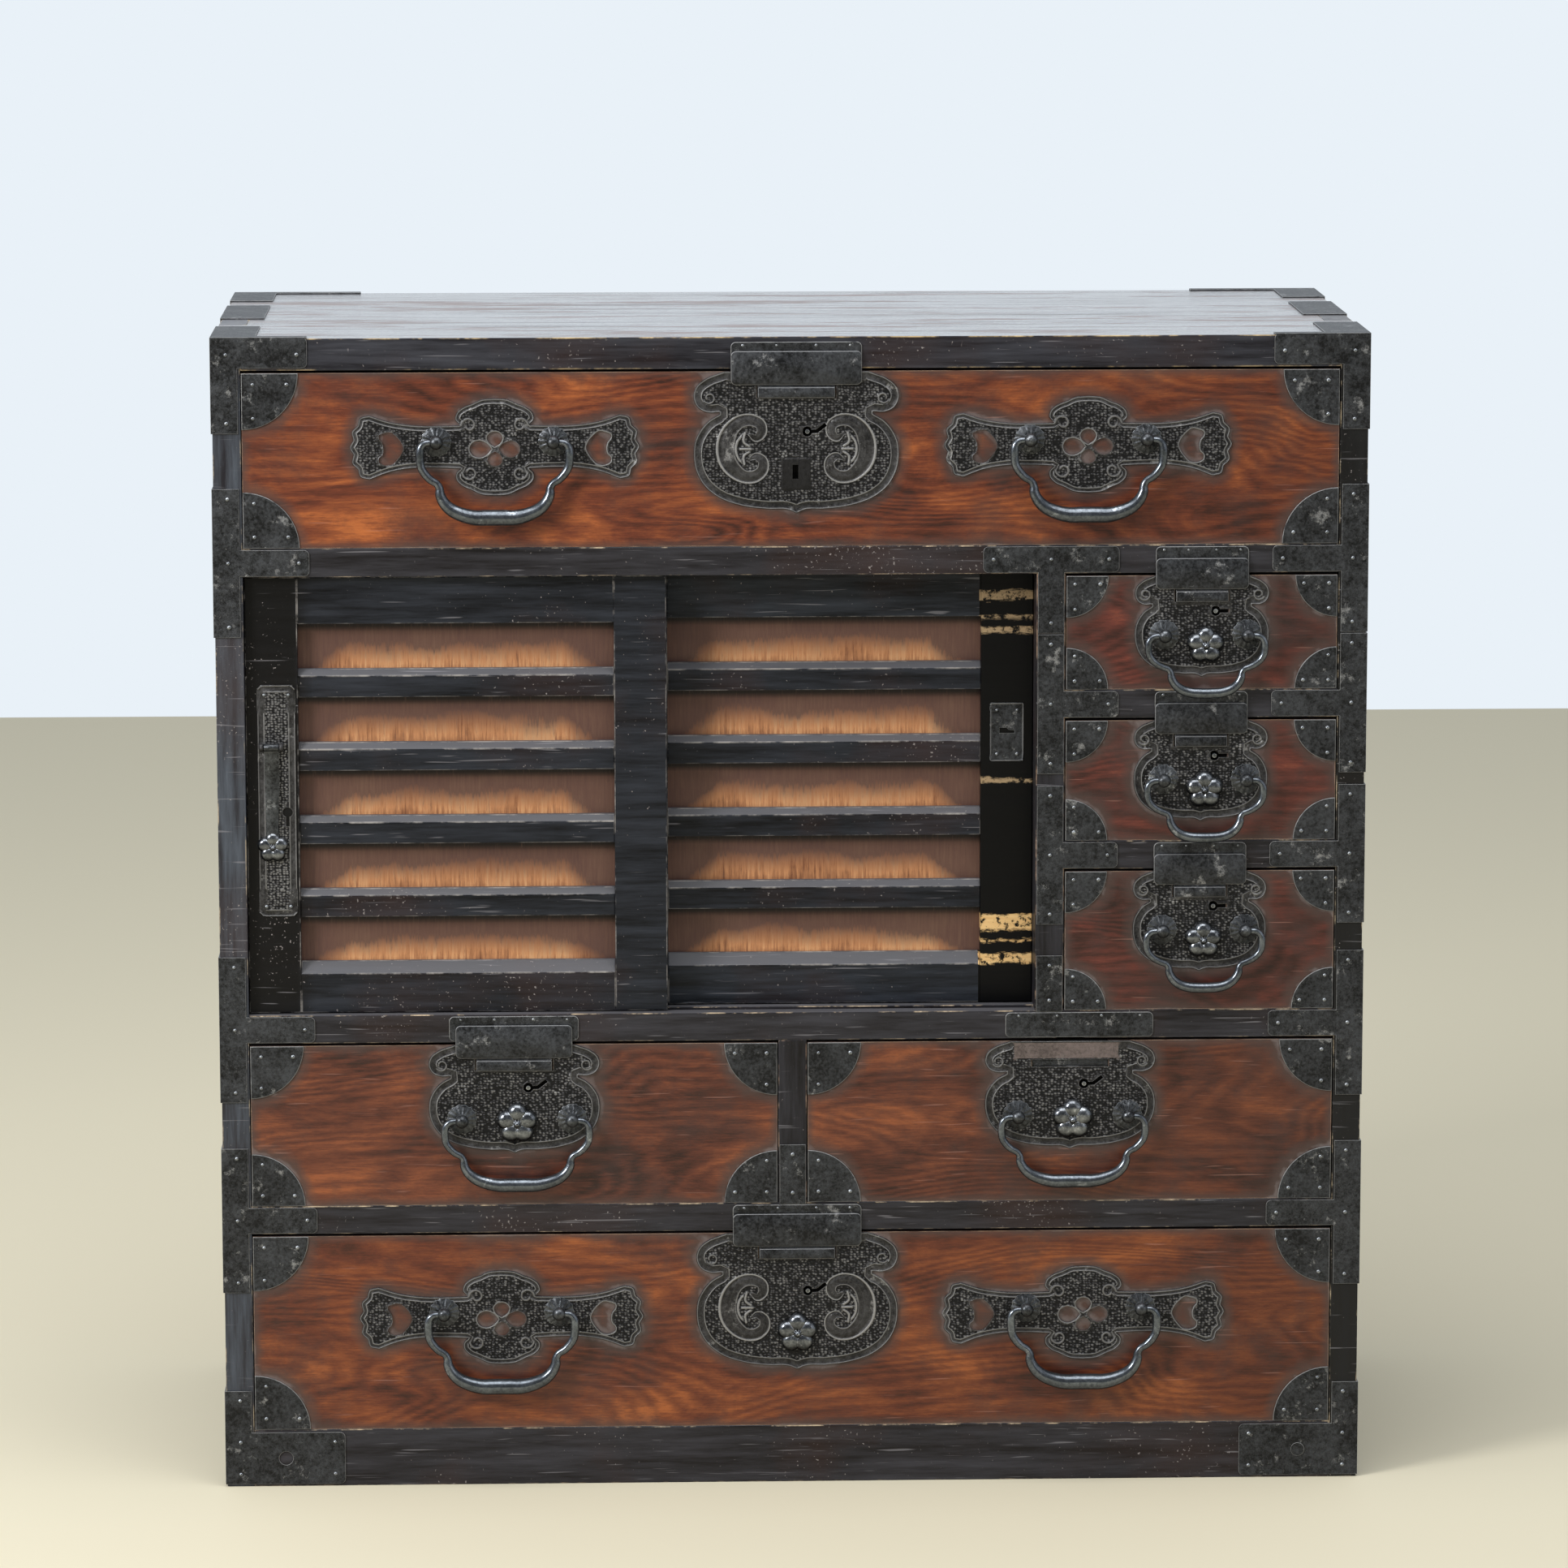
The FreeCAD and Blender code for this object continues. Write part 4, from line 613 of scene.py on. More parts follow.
# %% Fronts and key pins
drawers = {"top_drawer": "big", "bottom_drawer": "big", "left_half_drawer": "half",
           "right_half_drawer": "half", "small_drawer_1": "small", "small_drawer_2": "small",
           "small_drawer_3": "small"}
DUST_CELL = 6 * MM


def celled(mesh, face_y):
    """Paint the floor of the lock's pocket near black as painted shade and cut the front face into small
    cells that can carry dust.
    """
    def front_faces():
        return [f for f in mesh.faces if f.normal.y < -0.9 and f.calc_center_median().y < face_y + 0.5 * MM]

    # Faces deep in the lock's pocket take the second finish, the painted shade.
    for face in mesh.faces:
        face.material_index = int(face.normal.y < -0.9 and face.calc_center_median().y > face_y + 2 * MM)
    for axis in (0, 2):
        places = [v.co[axis] for v in mesh.verts]
        across = Vector([float(i == axis) for i in range(3)])
        for place in np.arange(min(places) + DUST_CELL, max(places), DUST_CELL):
            near = [f for f in front_faces() if min(v.co[axis] for v in f.verts) < place - 0.05 * MM
                    and max(v.co[axis] for v in f.verts) > place + 0.05 * MM]
            if near:
                parts = near + [e for f in near for e in f.edges] + [v for f in near for v in f.verts]
                bmesh.ops.bisect_plane(mesh, geom=list(dict.fromkeys(parts)), plane_co=across * place,
                                       plane_no=across, dist=0.02 * MM)
    return mesh


front_pieces = {}
for name, kind in drawers.items():
    parts = sorted(islands(name + "_front"), key=lambda found: found[1].x - found[2].x)
    board = celled(planed(parts[0][0], 0.9 * MM), parts[0][1].y)
    front_pieces[name] = place_piece(board, name + "_front_planed", name, [front_woods[kind], pocket_painted_shade],
                                     [name + "_front"])
    place_piece(planed(joined([part for part, _, _ in parts[1:]]), 0.3 * MM), name + "_key_pin", name,
                knob_iron, [name + "_front"])
print("fronts", {name: len(piece.data.polygons) for name, piece in front_pieces.items()})

# %% [markdown]
# ## Straps, corners and nails
# The measured irons are one node per body, so they are parted into islands too. Islands as small as
# a nail head give the nail places; the thin plates keep their measured outline and get a soft edge.
# The rest, such as locks and posts, is made anew further down.
#
# Nails repeat by the hundred, so Geometry Nodes place them: one flattened ball on each point of a mesh
# that holds only the places, each a little different in size, as forged nails are.

# %% Nails by Geometry Nodes
NAIL_RADIUS = 1.7


def empty_group(name, sockets):
    """A node group that turns geometry into geometry; sockets are {name: (type, value)}."""
    tree = bpy.data.node_groups.new(name, "GeometryNodeTree")
    tree.interface.new_socket("Geometry", in_out="INPUT", socket_type="NodeSocketGeometry")
    for label, (kind, value) in sockets.items():
        made = tree.interface.new_socket(label, in_out="INPUT", socket_type="NodeSocket" + kind)
        made.default_value = value
    tree.interface.new_socket("Geometry", in_out="OUTPUT", socket_type="NodeSocketGeometry")
    return tree, node(tree, "NodeGroupInput").outputs


def nail_tree():
    """Node group: a domed head on every point."""
    tree, given = empty_group("nail_heads", {
        "Head radius": ("Float", NAIL_RADIUS * MM), "Head height": ("Float", 1.2 * MM),
        "Seed": ("Int", 4), "Finish": ("Material", nail_iron)})
    ball = node(tree, "GeometryNodeMeshUVSphere", {"Segments": 12, "Rings": 7, "Radius": 1.0})
    size = node(tree, "ShaderNodeCombineXYZ", {"X": given["Head radius"], "Y": given["Head height"],
                                               "Z": given["Head radius"]})
    flat = node(tree, "GeometryNodeTransform", {"Geometry": ball.outputs["Mesh"], "Scale": size})
    vary = node(tree, "FunctionNodeRandomValue", {2: 0.86, 3: 1.08, "Seed": given["Seed"]}, data_type="FLOAT")
    heads = node(tree, "GeometryNodeInstanceOnPoints", {"Points": given["Geometry"], "Instance": flat,
                                                        "Scale": vary.outputs[1]})
    real = node(tree, "GeometryNodeRealizeInstances", {"Geometry": heads})
    smooth = node(tree, "GeometryNodeSetShadeSmooth", {"Geometry": real})
    dressed = node(tree, "GeometryNodeSetMaterial", {"Geometry": smooth, "Material": given["Finish"]})
    node(tree, "NodeGroupOutput", {"Geometry": dressed})
    return tree


def grown(tree, start, values):
    """Run a node group on a mesh with the given inputs and return the plain mesh it makes."""
    host = bpy.data.objects.new("host", start)
    bpy.context.scene.collection.objects.link(host)
    modifier = host.modifiers.new("grow", "NODES")
    modifier.node_group = tree
    for item in tree.interface.items_tree:
        if item.item_type == "SOCKET" and item.in_out == "INPUT" and item.name in values:
            modifier[item.identifier] = values[item.name]
    bpy.context.view_layer.update()
    ready = host.evaluated_get(bpy.context.evaluated_depsgraph_get())
    made = bpy.data.meshes.new_from_object(ready)
    host.modifiers.remove(modifier)
    bpy.data.objects.remove(host)
    return made


nail_group = nail_tree()


def nails(name, body, places, proud, radius=NAIL_RADIUS, seed=4):
    """Nail heads on one body; places are (x, z) in metres and proud in millimetres."""
    points = bpy.data.meshes.new(name)
    points.from_pydata([(x, front_y - p * MM, z) for (x, z), p in zip(places, proud)], [], [])
    mesh = grown(nail_group, points, {"Head radius": radius * MM, "Seed": seed, "Finish": nail_iron})
    return place_piece(mesh, name, body, nail_iron)


# %% Frame irons, strikes and their nails
def middle_xz(low, high):
    """The middle of a box seen from the front."""
    return ((low.x + high.x) / 2, (low.z + high.z) / 2)


LARGEST_HEAD = 4.5 * MM
PLATE_THICK = 1.2 * MM
WRAPPED_DEPTH = 2 * MM


def sorted_irons(name):
    """Split a node's islands into thin plates, nail heads and the rest; straps that wrap are plates too."""
    plates, heads, rest = [], [], []
    for part, low, high in islands(name):
        size = high - low
        if max(size) < LARGEST_HEAD:
            heads.append((middle_xz(low, high), (front_y - high.y) / MM))
            part.free()
        elif abs(size.y - PLATE_THICK) < 0.1 * MM or name == "frame_irons" and size.y > WRAPPED_DEPTH:
            plates.append(part)
        else:
            rest.append((part, low, high))
    return plates, heads, rest


def plates_piece(plates, name, body, node_name):
    """Thin plates with their measured outline and a soft front edge, as one piece."""
    place_piece(planed(joined(plates), 0.5 * MM, 2, 50), name, body, mount_iron, [node_name])


plates, heads, rest = sorted_irons("frame_irons")
plates_piece(plates, "case_straps", "cabinet", "frame_irons")
place_piece(planed(joined([part for part, _, _ in rest]), 0.3 * MM), "case_foot_boss", "cabinet",
            mount_iron, ["frame_irons"])
nails("case_nails", "cabinet", *zip(*heads))
strikes, _, _ = sorted_irons("strike_plates")
strike_nails = []
for strike in strikes:
    across = [v.co.x for v in strike.verts]
    top, middle = max(v.co.z for v in strike.verts), sum(across) / len(across)
    half = (max(across) - min(across)) / 2
    strike_nails += [(middle + share * half, top - 2.8 * MM) for share in (-0.82, -0.3, 0.3, 0.82)]
nails("strike_nails", "cabinet", strike_nails, [0.4] * len(strike_nails), 1.4)
plates_piece(strikes, "lock_strikes", "cabinet", "strike_plates")
print("straps", len(plates), "nails", len(heads), "strikes", len(strikes))

# %% Corner plates and nails of the drawers
POST_LENGTH = 8 * MM
posts_at = {}
for name in drawers:
    plates, heads, rest = sorted_irons(name + "_irons")
    plates_piece(plates, name + "_corner_plates", name, name + "_irons")
    nails(name + "_nails", name, *zip(*heads), seed=7)
    posts_at[name] = [middle_xz(low, high) for _, low, high in rest if high.y - low.y > POST_LENGTH]
    for part, _, _ in rest:
        part.free()
print("posts", {k: len(v) for k, v in posts_at.items()})

# %% [markdown]
# ## Relief plates
# Lock plates and pull plates are sheet iron with a raised rim, an inner line, scrolls and a punched
# ground. Such a relief is a height over a flat outline. A regular grid would leave jagged rims, so the
# plate is cut into triangles along the very lines where the height changes: the outline moved inward
# by each step of the rim's profile, and each scroll's middle line moved sideways by each step of its
# profile. Loose points fill the rest. Then every point gets its height, and walls and a back close it.

# %% Curves in the plate's plane, in millimetres
def smooth_line(points, step=0.9):
    """Points about a step apart along a smooth curve through the given rows; extra columns follow."""
    p = np.array(points, float)
    t = np.concatenate([[0], np.cumsum(np.linalg.norm(np.diff(p[:, :2], axis=0), axis=1))])
    slope = np.gradient(p, t, axis=0)
    s = np.linspace(0, t[-1], max(int(t[-1] / step), 2) + 1)
    i = np.clip(np.searchsorted(t, s, side="right") - 1, 0, len(t) - 2)
    h = (t[i + 1] - t[i])[:, None]
    u = (s - t[i])[:, None] / h
    return ((2 * u ** 3 - 3 * u ** 2 + 1) * p[i] + (u ** 3 - 2 * u ** 2 + u) * h * slope[i]
            + (3 * u ** 2 - 2 * u ** 3) * p[i + 1] + (u ** 3 - u ** 2) * h * slope[i + 1])


def moved_aside(line, amounts, closed=False):
    """A line moved to its right by an amount at each point."""
    if closed:
        run = np.roll(line[:, :2], -1, axis=0) - np.roll(line[:, :2], 1, axis=0)
    else:
        run = np.gradient(line[:, :2], axis=0)
    run /= np.linalg.norm(run, axis=1)[:, None]
    return line[:, :2] + np.column_stack([run[:, 1], -run[:, 0]]) * np.reshape(amounts, (-1, 1))


def nearest(points, line, closed=False):
    """For each point: distance to a line, which side (1 is right), and the line's half width there."""
    if line.shape[1] == 2:
        line = np.column_stack([line, np.ones(len(line))])
    starts, ends = (line, np.roll(line, -1, axis=0)) if closed else (line[:-1], line[1:])
    run = ends[:, :2] - starts[:, :2]
    results = []
    for part in np.array_split(points, max(len(points) // 1500, 1)):
        away = part[:, None, :] - starts[None, :, :2]
        share = np.clip((away * run).sum(2) / np.maximum((run ** 2).sum(1), 1e-9), 0, 1)
        off = away - share[..., None] * run
        dist = np.hypot(off[..., 0], off[..., 1])
        best, rows = dist.argmin(1), np.arange(len(part))
        cross = run[best, 0] * off[rows, best, 1] - run[best, 1] * off[rows, best, 0]
        half = starts[best, 2] + share[rows, best] * (ends[best, 2] - starts[best, 2])
        results.append(np.column_stack([dist[rows, best], np.where(cross > 0, -1, 1), half]))
    return np.vstack(results).T


def inside(points, loop):
    """Whether each point lies in a closed loop, by counting crossings."""
    hits = np.zeros(len(points), int)
    for (x0, z0), (x1, z1) in zip(loop[:, :2], np.roll(loop[:, :2], -1, axis=0)):
        if z0 != z1:
            crosses = (z0 > points[:, 1]) != (z1 > points[:, 1])
            hits += crosses & (points[:, 0] < x0 + (points[:, 1] - z0) * (x1 - x0) / (z1 - z0))
    return hits % 2 == 1


def rectangle(x0, x1, z0, z1):
    """Four corners as a closed loop."""
    return np.array([(x0, z0), (x1, z0), (x1, z1), (x0, z1)], float)


def cut_flat(lines, loose, loops):
    """Triangles between lines and loose points, kept inside the first loop and outside the others."""
    points, edges = [], []
    for line, closed in lines:
        start, count = len(points), len(line)
        points += [Vector(row[:2]) for row in line]
        edges += [(start + i, start + (i + 1) % count) for i in range(count if closed else count - 1)]
    points += [Vector(row[:2]) for row in loose]
    found, _, faces = delaunay_2d_cdt(points, edges, [], 0, 1e-4)[:3]
    flat = np.array([v[:] for v in found])
    middle = np.array([flat[list(f)].mean(axis=0) for f in faces])
    keep = inside(middle, loops[0])
    for hole in loops[1:]:
        keep &= ~inside(middle, hole)
    return flat, [list(f) for f, k in zip(faces, keep) if k]


# %% The relief itself
def relief(loops, rim, hole_rim, bands, face, back, spacing=2.4, smooth=()):
    """A closed plate in mm: rows (x, proud, z), faces, and the marks rise, ground and bare of its points.

    Loops are the outline and the holes, rims their profiles, bands scrolls as (line, profile), face and
    back how proud the plate is, and smooth rectangles (x0, x1, z0, z1, bare) that are never punched."""
    lines = [(loop, True) for loop in loops] + [(rectangle(*patch[:4]), True) for patch in smooth]
    for number, loop in enumerate(loops):
        for distance, _ in (rim if number == 0 else hole_rim)[1:-1]:
            moved = moved_aside(loop, np.full(len(loop), -distance if number == 0 else distance), True)
            true = nearest(moved, loop, True)[0] >= distance - 0.03
            true &= inside(moved, loops[0])
            for run in np.split(np.arange(len(moved)), np.where(np.diff(true.astype(int)) != 0)[0] + 1):
                if true[run[0]] and len(run) > 2:
                    lines.append((moved[run], len(run) == len(moved)))
    for line, profile in bands:
        for share, _ in profile:
            lines.append((moved_aside(line, line[:, 2] * share), False))
    low, high = loops[0][:, :2].min(axis=0), loops[0][:, :2].max(axis=0)
    across, up = np.meshgrid(np.arange(low[0], high[0], spacing),
                             np.arange(low[1], high[1], spacing * 0.87))
    across[::2] += spacing / 2
    loose = np.column_stack([across.ravel(), up.ravel()])
    taken = {tuple(row) for row in np.vstack([line[:, :2] for line, _ in lines]) // 1.1}
    loose = [row for row in loose if tuple(row // 1.1) not in taken]
    flat, faces = cut_flat(lines, loose, loops)
    used = sorted({i for f in faces for i in f})
    place = {old: new for new, old in enumerate(used)}
    flat, faces = flat[used], [[place[i] for i in f] for f in faces]
    distance = nearest(flat, loops[0], True)[0]
    height = np.interp(distance, *zip(*rim))
    ground = (distance > rim[-2][0] - 0.01).astype(float)
    bare = np.zeros(len(flat))
    for hole in loops[1:]:
        away = nearest(flat, hole, True)[0]
        near = away < hole_rim[-2][0]
        height[near] = np.maximum(height, np.interp(away, *zip(*hole_rim)))[near]
        ground[near] = 0
    for line, profile in bands:
        away, side, half = nearest(flat, line)
        share = away * side / half
        shares, heights = zip(*profile)
        within = (share >= shares[0] - 0.01) & (share <= shares[-1] + 0.01)
        within &= away <= half * max(shares[-1], -shares[0]) + 0.01
        height[within] = np.interp(share, shares, heights)[within]
        core = within & (share > shares[0] + 0.02) & (share < shares[-1] - 0.02)
        ground[core] = 0
    for x0, x1, z0, z1, amount in smooth:
        within = (flat[:, 0] > x0 - 0.01) & (flat[:, 0] < x1 + 0.01) & (flat[:, 1] > z0 - 0.01)
        within &= (flat[:, 1] < z1 + 0.01) & (distance > 1.2)
        ground[within] = 0
        bare[within] = amount
        height[within] = -0.12
    count = len(flat)
    rows = [np.column_stack([flat[:, 0], face + height, flat[:, 1]])]
    sides = {}
    for f in faces:
        for a, b in zip(f, f[1:] + f[:1]):
            sides[(a, b)] = sides.get((a, b), 0) + 1
    border = [(a, b) for a, b in sides if (b, a) not in sides]
    rim_points = sorted({a for edge in border for a in edge})
    number = {old: count + new for new, old in enumerate(rim_points)}
    rows.append(np.column_stack([flat[rim_points, 0], np.full(len(rim_points), back), flat[rim_points, 1]]))
    faces = faces + [[b, a, number[a], number[b]] for a, b in border]
    backs, cap = cut_flat([(np.array([flat[a], flat[b]]), False) for a, b in border], [], loops)
    tree = {tuple(np.round(row, 3)): i for i, row in zip(rim_points, flat[rim_points])}
    faces += [[number[tree[tuple(np.round(backs[i], 3))]] for i in reversed(f)] for f in cap
              if all(tuple(np.round(backs[i], 3)) in tree for i in f)]
    rows = np.vstack(rows)
    marks = {"rise": np.maximum(height, 0), "ground": ground, "bare": bare}
    return rows, faces, {key: np.append(values, np.zeros(len(rim_points))) for key, values in marks.items()}


def metal_piece(name, body, parts, finish, stands_for=(), soft=50):
    """Join parts of (rows in mm, faces, marks) into one object on a body; rows are (x, proud, z)."""
    rows, faces, marks = [], [], {"rise": [], "ground": [], "bare": []}
    for part_rows, part_faces, part_marks in parts:
        start = sum(len(r) for r in rows)
        rows.append(part_rows)
        faces += [[start + i for i in f] for f in part_faces]
        for key in marks:
            marks[key].append(part_marks.get(key, np.zeros(len(part_rows))))
    rows = np.vstack(rows)
    mesh = bpy.data.meshes.new(name)
    places = np.column_stack([rows[:, 0] * MM, front_y - rows[:, 1] * MM, rows[:, 2] * MM])
    mesh.from_pydata(places.tolist(), [], faces)
    for key, values in marks.items():
        layer = mesh.attributes.new(key, "FLOAT", "POINT")
        layer.data.foreach_set("value", np.concatenate(values).astype(np.float32))
    fixed = bmesh.new()
    fixed.from_mesh(mesh)
    bmesh.ops.recalc_face_normals(fixed, faces=fixed.faces)
    fixed.to_mesh(mesh)
    fixed.free()
    return place_piece(mesh, name, body, finish, stands_for, soft)


def shifted(part, x, z):
    """A part moved in millimetres."""
    rows, faces, marks = part
    return rows + np.array([x, 0.0, z]), faces, marks


# %% [markdown]
# ## The lock plates
# All lock plates share one outline: a bowl with a point at the bottom and an ear at each upper side.
# The table gives its right half in shares of the half width and the height, as in the measured part.
# All curl in the ears, and the big ones also carry a pair of C-scrolls with a leaf between their ends.
# Two locks differ. The top drawer has lost its knob, and a dark smooth spot is left round the hole. The
# right half drawer has lost the hasp over its bolt, and the plate there is smooth and reddish.

# %% Outline, key hole and scrolls of the lock plates
lock_body_shares = [(0.0, 0.0), (0.07, 0.022), (0.28, 0.030), (0.54, 0.056), (0.76, 0.115), (0.90, 0.20),
                    (0.975, 0.30), (1.0, 0.42), (0.985, 0.51), (0.935, 0.585), (0.85, 0.655), (0.745, 0.70)]
lock_lobe_shares = [(0.745, 0.715), (0.86, 0.712), (0.955, 0.745), (1.0, 0.82), (0.975, 0.89),
                    (0.88, 0.95), (0.76, 0.985), (0.70, 1.0)]
ridge = [(-2.6, -0.3), (-1.0, 0.42), (1.0, 0.42), (2.6, -0.3)]
low_ridge = [(-2.6, -0.3), (-1.0, 0.28), (1.0, 0.28), (2.6, -0.3)]
scroll_rim = [(-1.12, -0.3), (-1.0, 0.3), (-0.9, 0.3), (-0.78, 0.02), (-0.2, 0.14), (0.3, 0.0), (0.42, -0.3),
              (0.7, -0.3), (0.82, 0.45), (1.0, 0.45), (1.12, -0.3)]
scroll_line = [(-36.5, -49.0, 1.0), (-31.5, -52.0, 3.0), (-27.3, -48.5, 3.8), (-27.5, -42.0, 4.2),
               (-34.0, -38.0, 4.6), (-42.5, -38.5, 5.0), (-50.0, -44.0, 5.8), (-54.3, -52.5, 6.8),
               (-55.2, -61.0, 7.2), (-53.5, -70.0, 6.8), (-48.0, -77.5, 6.0), (-41.0, -82.0, 5.0),
               (-32.5, -82.0, 4.8), (-26.2, -76.5, 4.4), (-26.3, -69.5, 3.8), (-31.5, -66.3, 3.0),
               (-36.5, -68.5, 1.0)]
leaf_lines = [[(-40.0, -48.0), (-45.5, -54.0), (-47.0, -61.0), (-45.0, -68.0), (-40.5, -72.5)],
              [(-40.0, -48.0), (-41.0, -55.0), (-36.5, -58.5)],
              [(-40.5, -72.5), (-41.0, -66.0), (-36.5, -62.5)], [(-43.5, -60.5), (-35.5, -60.5)]]


def lock_outline(width, height):
    """The closed outline of a lock plate, in mm from the middle of its top edge."""
    half = np.vstack([smooth_line([(a * width / 2, b * height - height) for a, b in run])
                      for run in (lock_body_shares, lock_lobe_shares)])
    return np.vstack([half, (half * (-1, 1))[::-1][:-1]])


def key_hole(x, z, bent, ring=4.0, slot=1.5):
    """A ring with a slot to its right, straight or bent upward."""
    path = np.array([(3.4, 0), (7.6, 0.2), (14.5, 5.6)] if bent else [(3.4, 0), (7.4, 0), (11.1, 0)], float)
    start = math.asin(slot / ring)
    arc = [(ring * math.cos(a), ring * math.sin(a)) for a in np.linspace(start, 2 * math.pi - start, 22)]
    lower, upper = moved_aside(path, np.full(3, slot)), moved_aside(path, np.full(3, -slot))
    return np.vstack([arc[1:-1], lower, upper[::-1]]) + (x, z)


def curl(x, z, start, end, first, turns, half=0.5):
    """A spiral line from one radius to another round a centre; angles are in turns."""
    a = np.linspace(0, 1, max(int(abs(turns) * 30), 8))
    angle, radius = 2 * math.pi * (first + a * turns), start + (end - start) * a
    return np.column_stack([x + radius * np.cos(angle), z + radius * np.sin(angle), np.full(len(a), half)])


hole_edge = [(0.0, -0.3), (0.2, -0.2), (0.9, -0.2), (999.0, -9.0)]


def rim_profile(border, line=0.5, lift=0.34):
    """Height across the rim of a plate: edge, outer bead, smooth band, inner line, ground."""
    return [(0.0, -0.45), (0.25, -0.05), (0.5, 0.3), (1.0, 0.3), (1.4, -0.08), (border - 0.4, -0.08),
            (border, lift), (border + line, lift), (border + line + 0.4, -0.3), (999.0, -0.3)]


def lock_plate(kind, bent, window, slot_low=-20.8, slot_top=-2.5, smooth=()):
    """One kind of lock plate, with its holes, as a part whose origin is the middle of its top edge."""
    size = lock_sizes[kind]
    width, height, tab_half = size["width"], size["height"], size["tab"] / 2 + 1.2
    loops = [lock_outline(width, height), rectangle(-tab_half, tab_half, slot_low, slot_top),
             key_hole(size["key_x"], -size["key_drop"], bent), rectangle(*window)]
    bands = []
    for side in (1, -1):
        if kind == "big":
            line = smooth_line(scroll_line)
            leaves = [smooth_line([(x, z, 0.55) for x, z in leaf]) for leaf in leaf_lines]
            if side < 0:
                line = (line * (-1, 1, 1))[::-1]
                leaves = [leaf * (-1, 1, 1) for leaf in leaves]
            bands.append((line, scroll_rim))
            bands += [(leaf, ridge) for leaf in leaves]
        bands.append((curl(side * 0.845 * width / 2, -0.185 * height, 4.6, 2.4, 0.25 - side * 0.34,
                           -side * 0.95, 0.4), low_ridge))
    return relief(loops, rim_profile(6.0), hole_edge, bands, 1.2, -0.5, smooth=smooth)


size_names = ("width", "height", "hasp", "rise", "tab", "key_x", "key_drop", "knob_drop", "knob", "shift")
lock_sizes = {"big": dict(zip(size_names, (160.0, 111.0, 102.0, 14.0, 60.0, 8.5, 47.0, 81.0, 15.5, 0.0))),
              "half": dict(zip(size_names, (135.0, 87.0, 92.0, 14.0, 59.5, 11.0, 34.5, 63.0, 15.8, 2.0))),
              "small": dict(zip(size_names, (105.5, 80.0, 73.0, 12.0, 41.0, 10.7, 28.0, 55.0, 14.5, 3.0)))}
lock_kinds = {
    "big": lock_plate("big", True, (-3.4, 3.4, -84.4, -69.6)),
    "half": lock_plate("half", True, (-1.4, 5.4, -66.4, -51.6)),
    "small": lock_plate("small", False, (-0.4, 6.4, -58.4, -43.6))}
odd_locks = {
    "top_drawer": lock_plate("big", True, (-3.1, 1.6, -84.1, -72.9),
                             smooth=[(-11.0, 11.0, -92.0, -69.0, -1.0)]),
    "right_half_drawer": lock_plate("half", True, (-1.4, 5.4, -66.4, -51.6), slot_top=-15.0,
                                    smooth=[(-44.0, 38.0, -13.8, -1.5, 1.0)])}
print("lock plates", {kind: (len(part[0]), len(part[1])) for kind, part in lock_kinds.items()})

# %% [markdown]
# ## The pull plates
# Each pull of a wide drawer has a long plate: two flared wings and a round lobe above and below. It is
# pierced by a four-petal hole in the middle and a bean in each wing, through which the wood shows.

# %% Outline and holes of the pull plates
pull_plate_shares = [
    [(0.0, -1.0), (0.10, -0.97), (0.165, -0.88)],
    [(0.165, -0.88), (0.23, -0.79), (0.268, -0.66), (0.268, -0.54), (0.235, -0.44)],
    [(0.235, -0.44), (0.40, -0.42), (0.58, -0.43), (0.73, -0.51), (0.865, -0.66)],
    [(0.865, -0.66), (0.93, -0.60), (0.945, -0.45)], [(0.945, -0.45), (0.985, -0.32), (0.975, -0.15)],
    [(0.975, -0.15), (1.0, 0.0), (0.975, 0.15)], [(0.975, 0.15), (0.985, 0.32), (0.945, 0.45)],
    [(0.945, 0.45), (0.93, 0.60), (0.865, 0.66)],
    [(0.865, 0.66), (0.73, 0.53), (0.55, 0.45), (0.38, 0.44), (0.235, 0.45)],
    [(0.235, 0.45), (0.272, 0.57), (0.262, 0.70), (0.215, 0.82), (0.155, 0.89)],
    [(0.155, 0.89), (0.09, 0.975), (0.0, 1.0)]]
bean_shares = [(0.773, 0.290), (0.720, 0.318), (0.684, 0.240), (0.649, 0.120), (0.631, -0.020),
               (0.649, -0.155), (0.676, -0.260), (0.702, -0.340), (0.764, -0.366), (0.800, -0.300),
               (0.800, -0.220), (0.778, -0.155), (0.769, -0.024), (0.782, 0.108), (0.800, 0.174),
               (0.800, 0.253), (0.773, 0.290)]
petal_hole_shares = [(0.13, 0.0), (0.35, 0.72), (0.66, 1.0), (0.92, 0.62), (1.0, 0.0)]


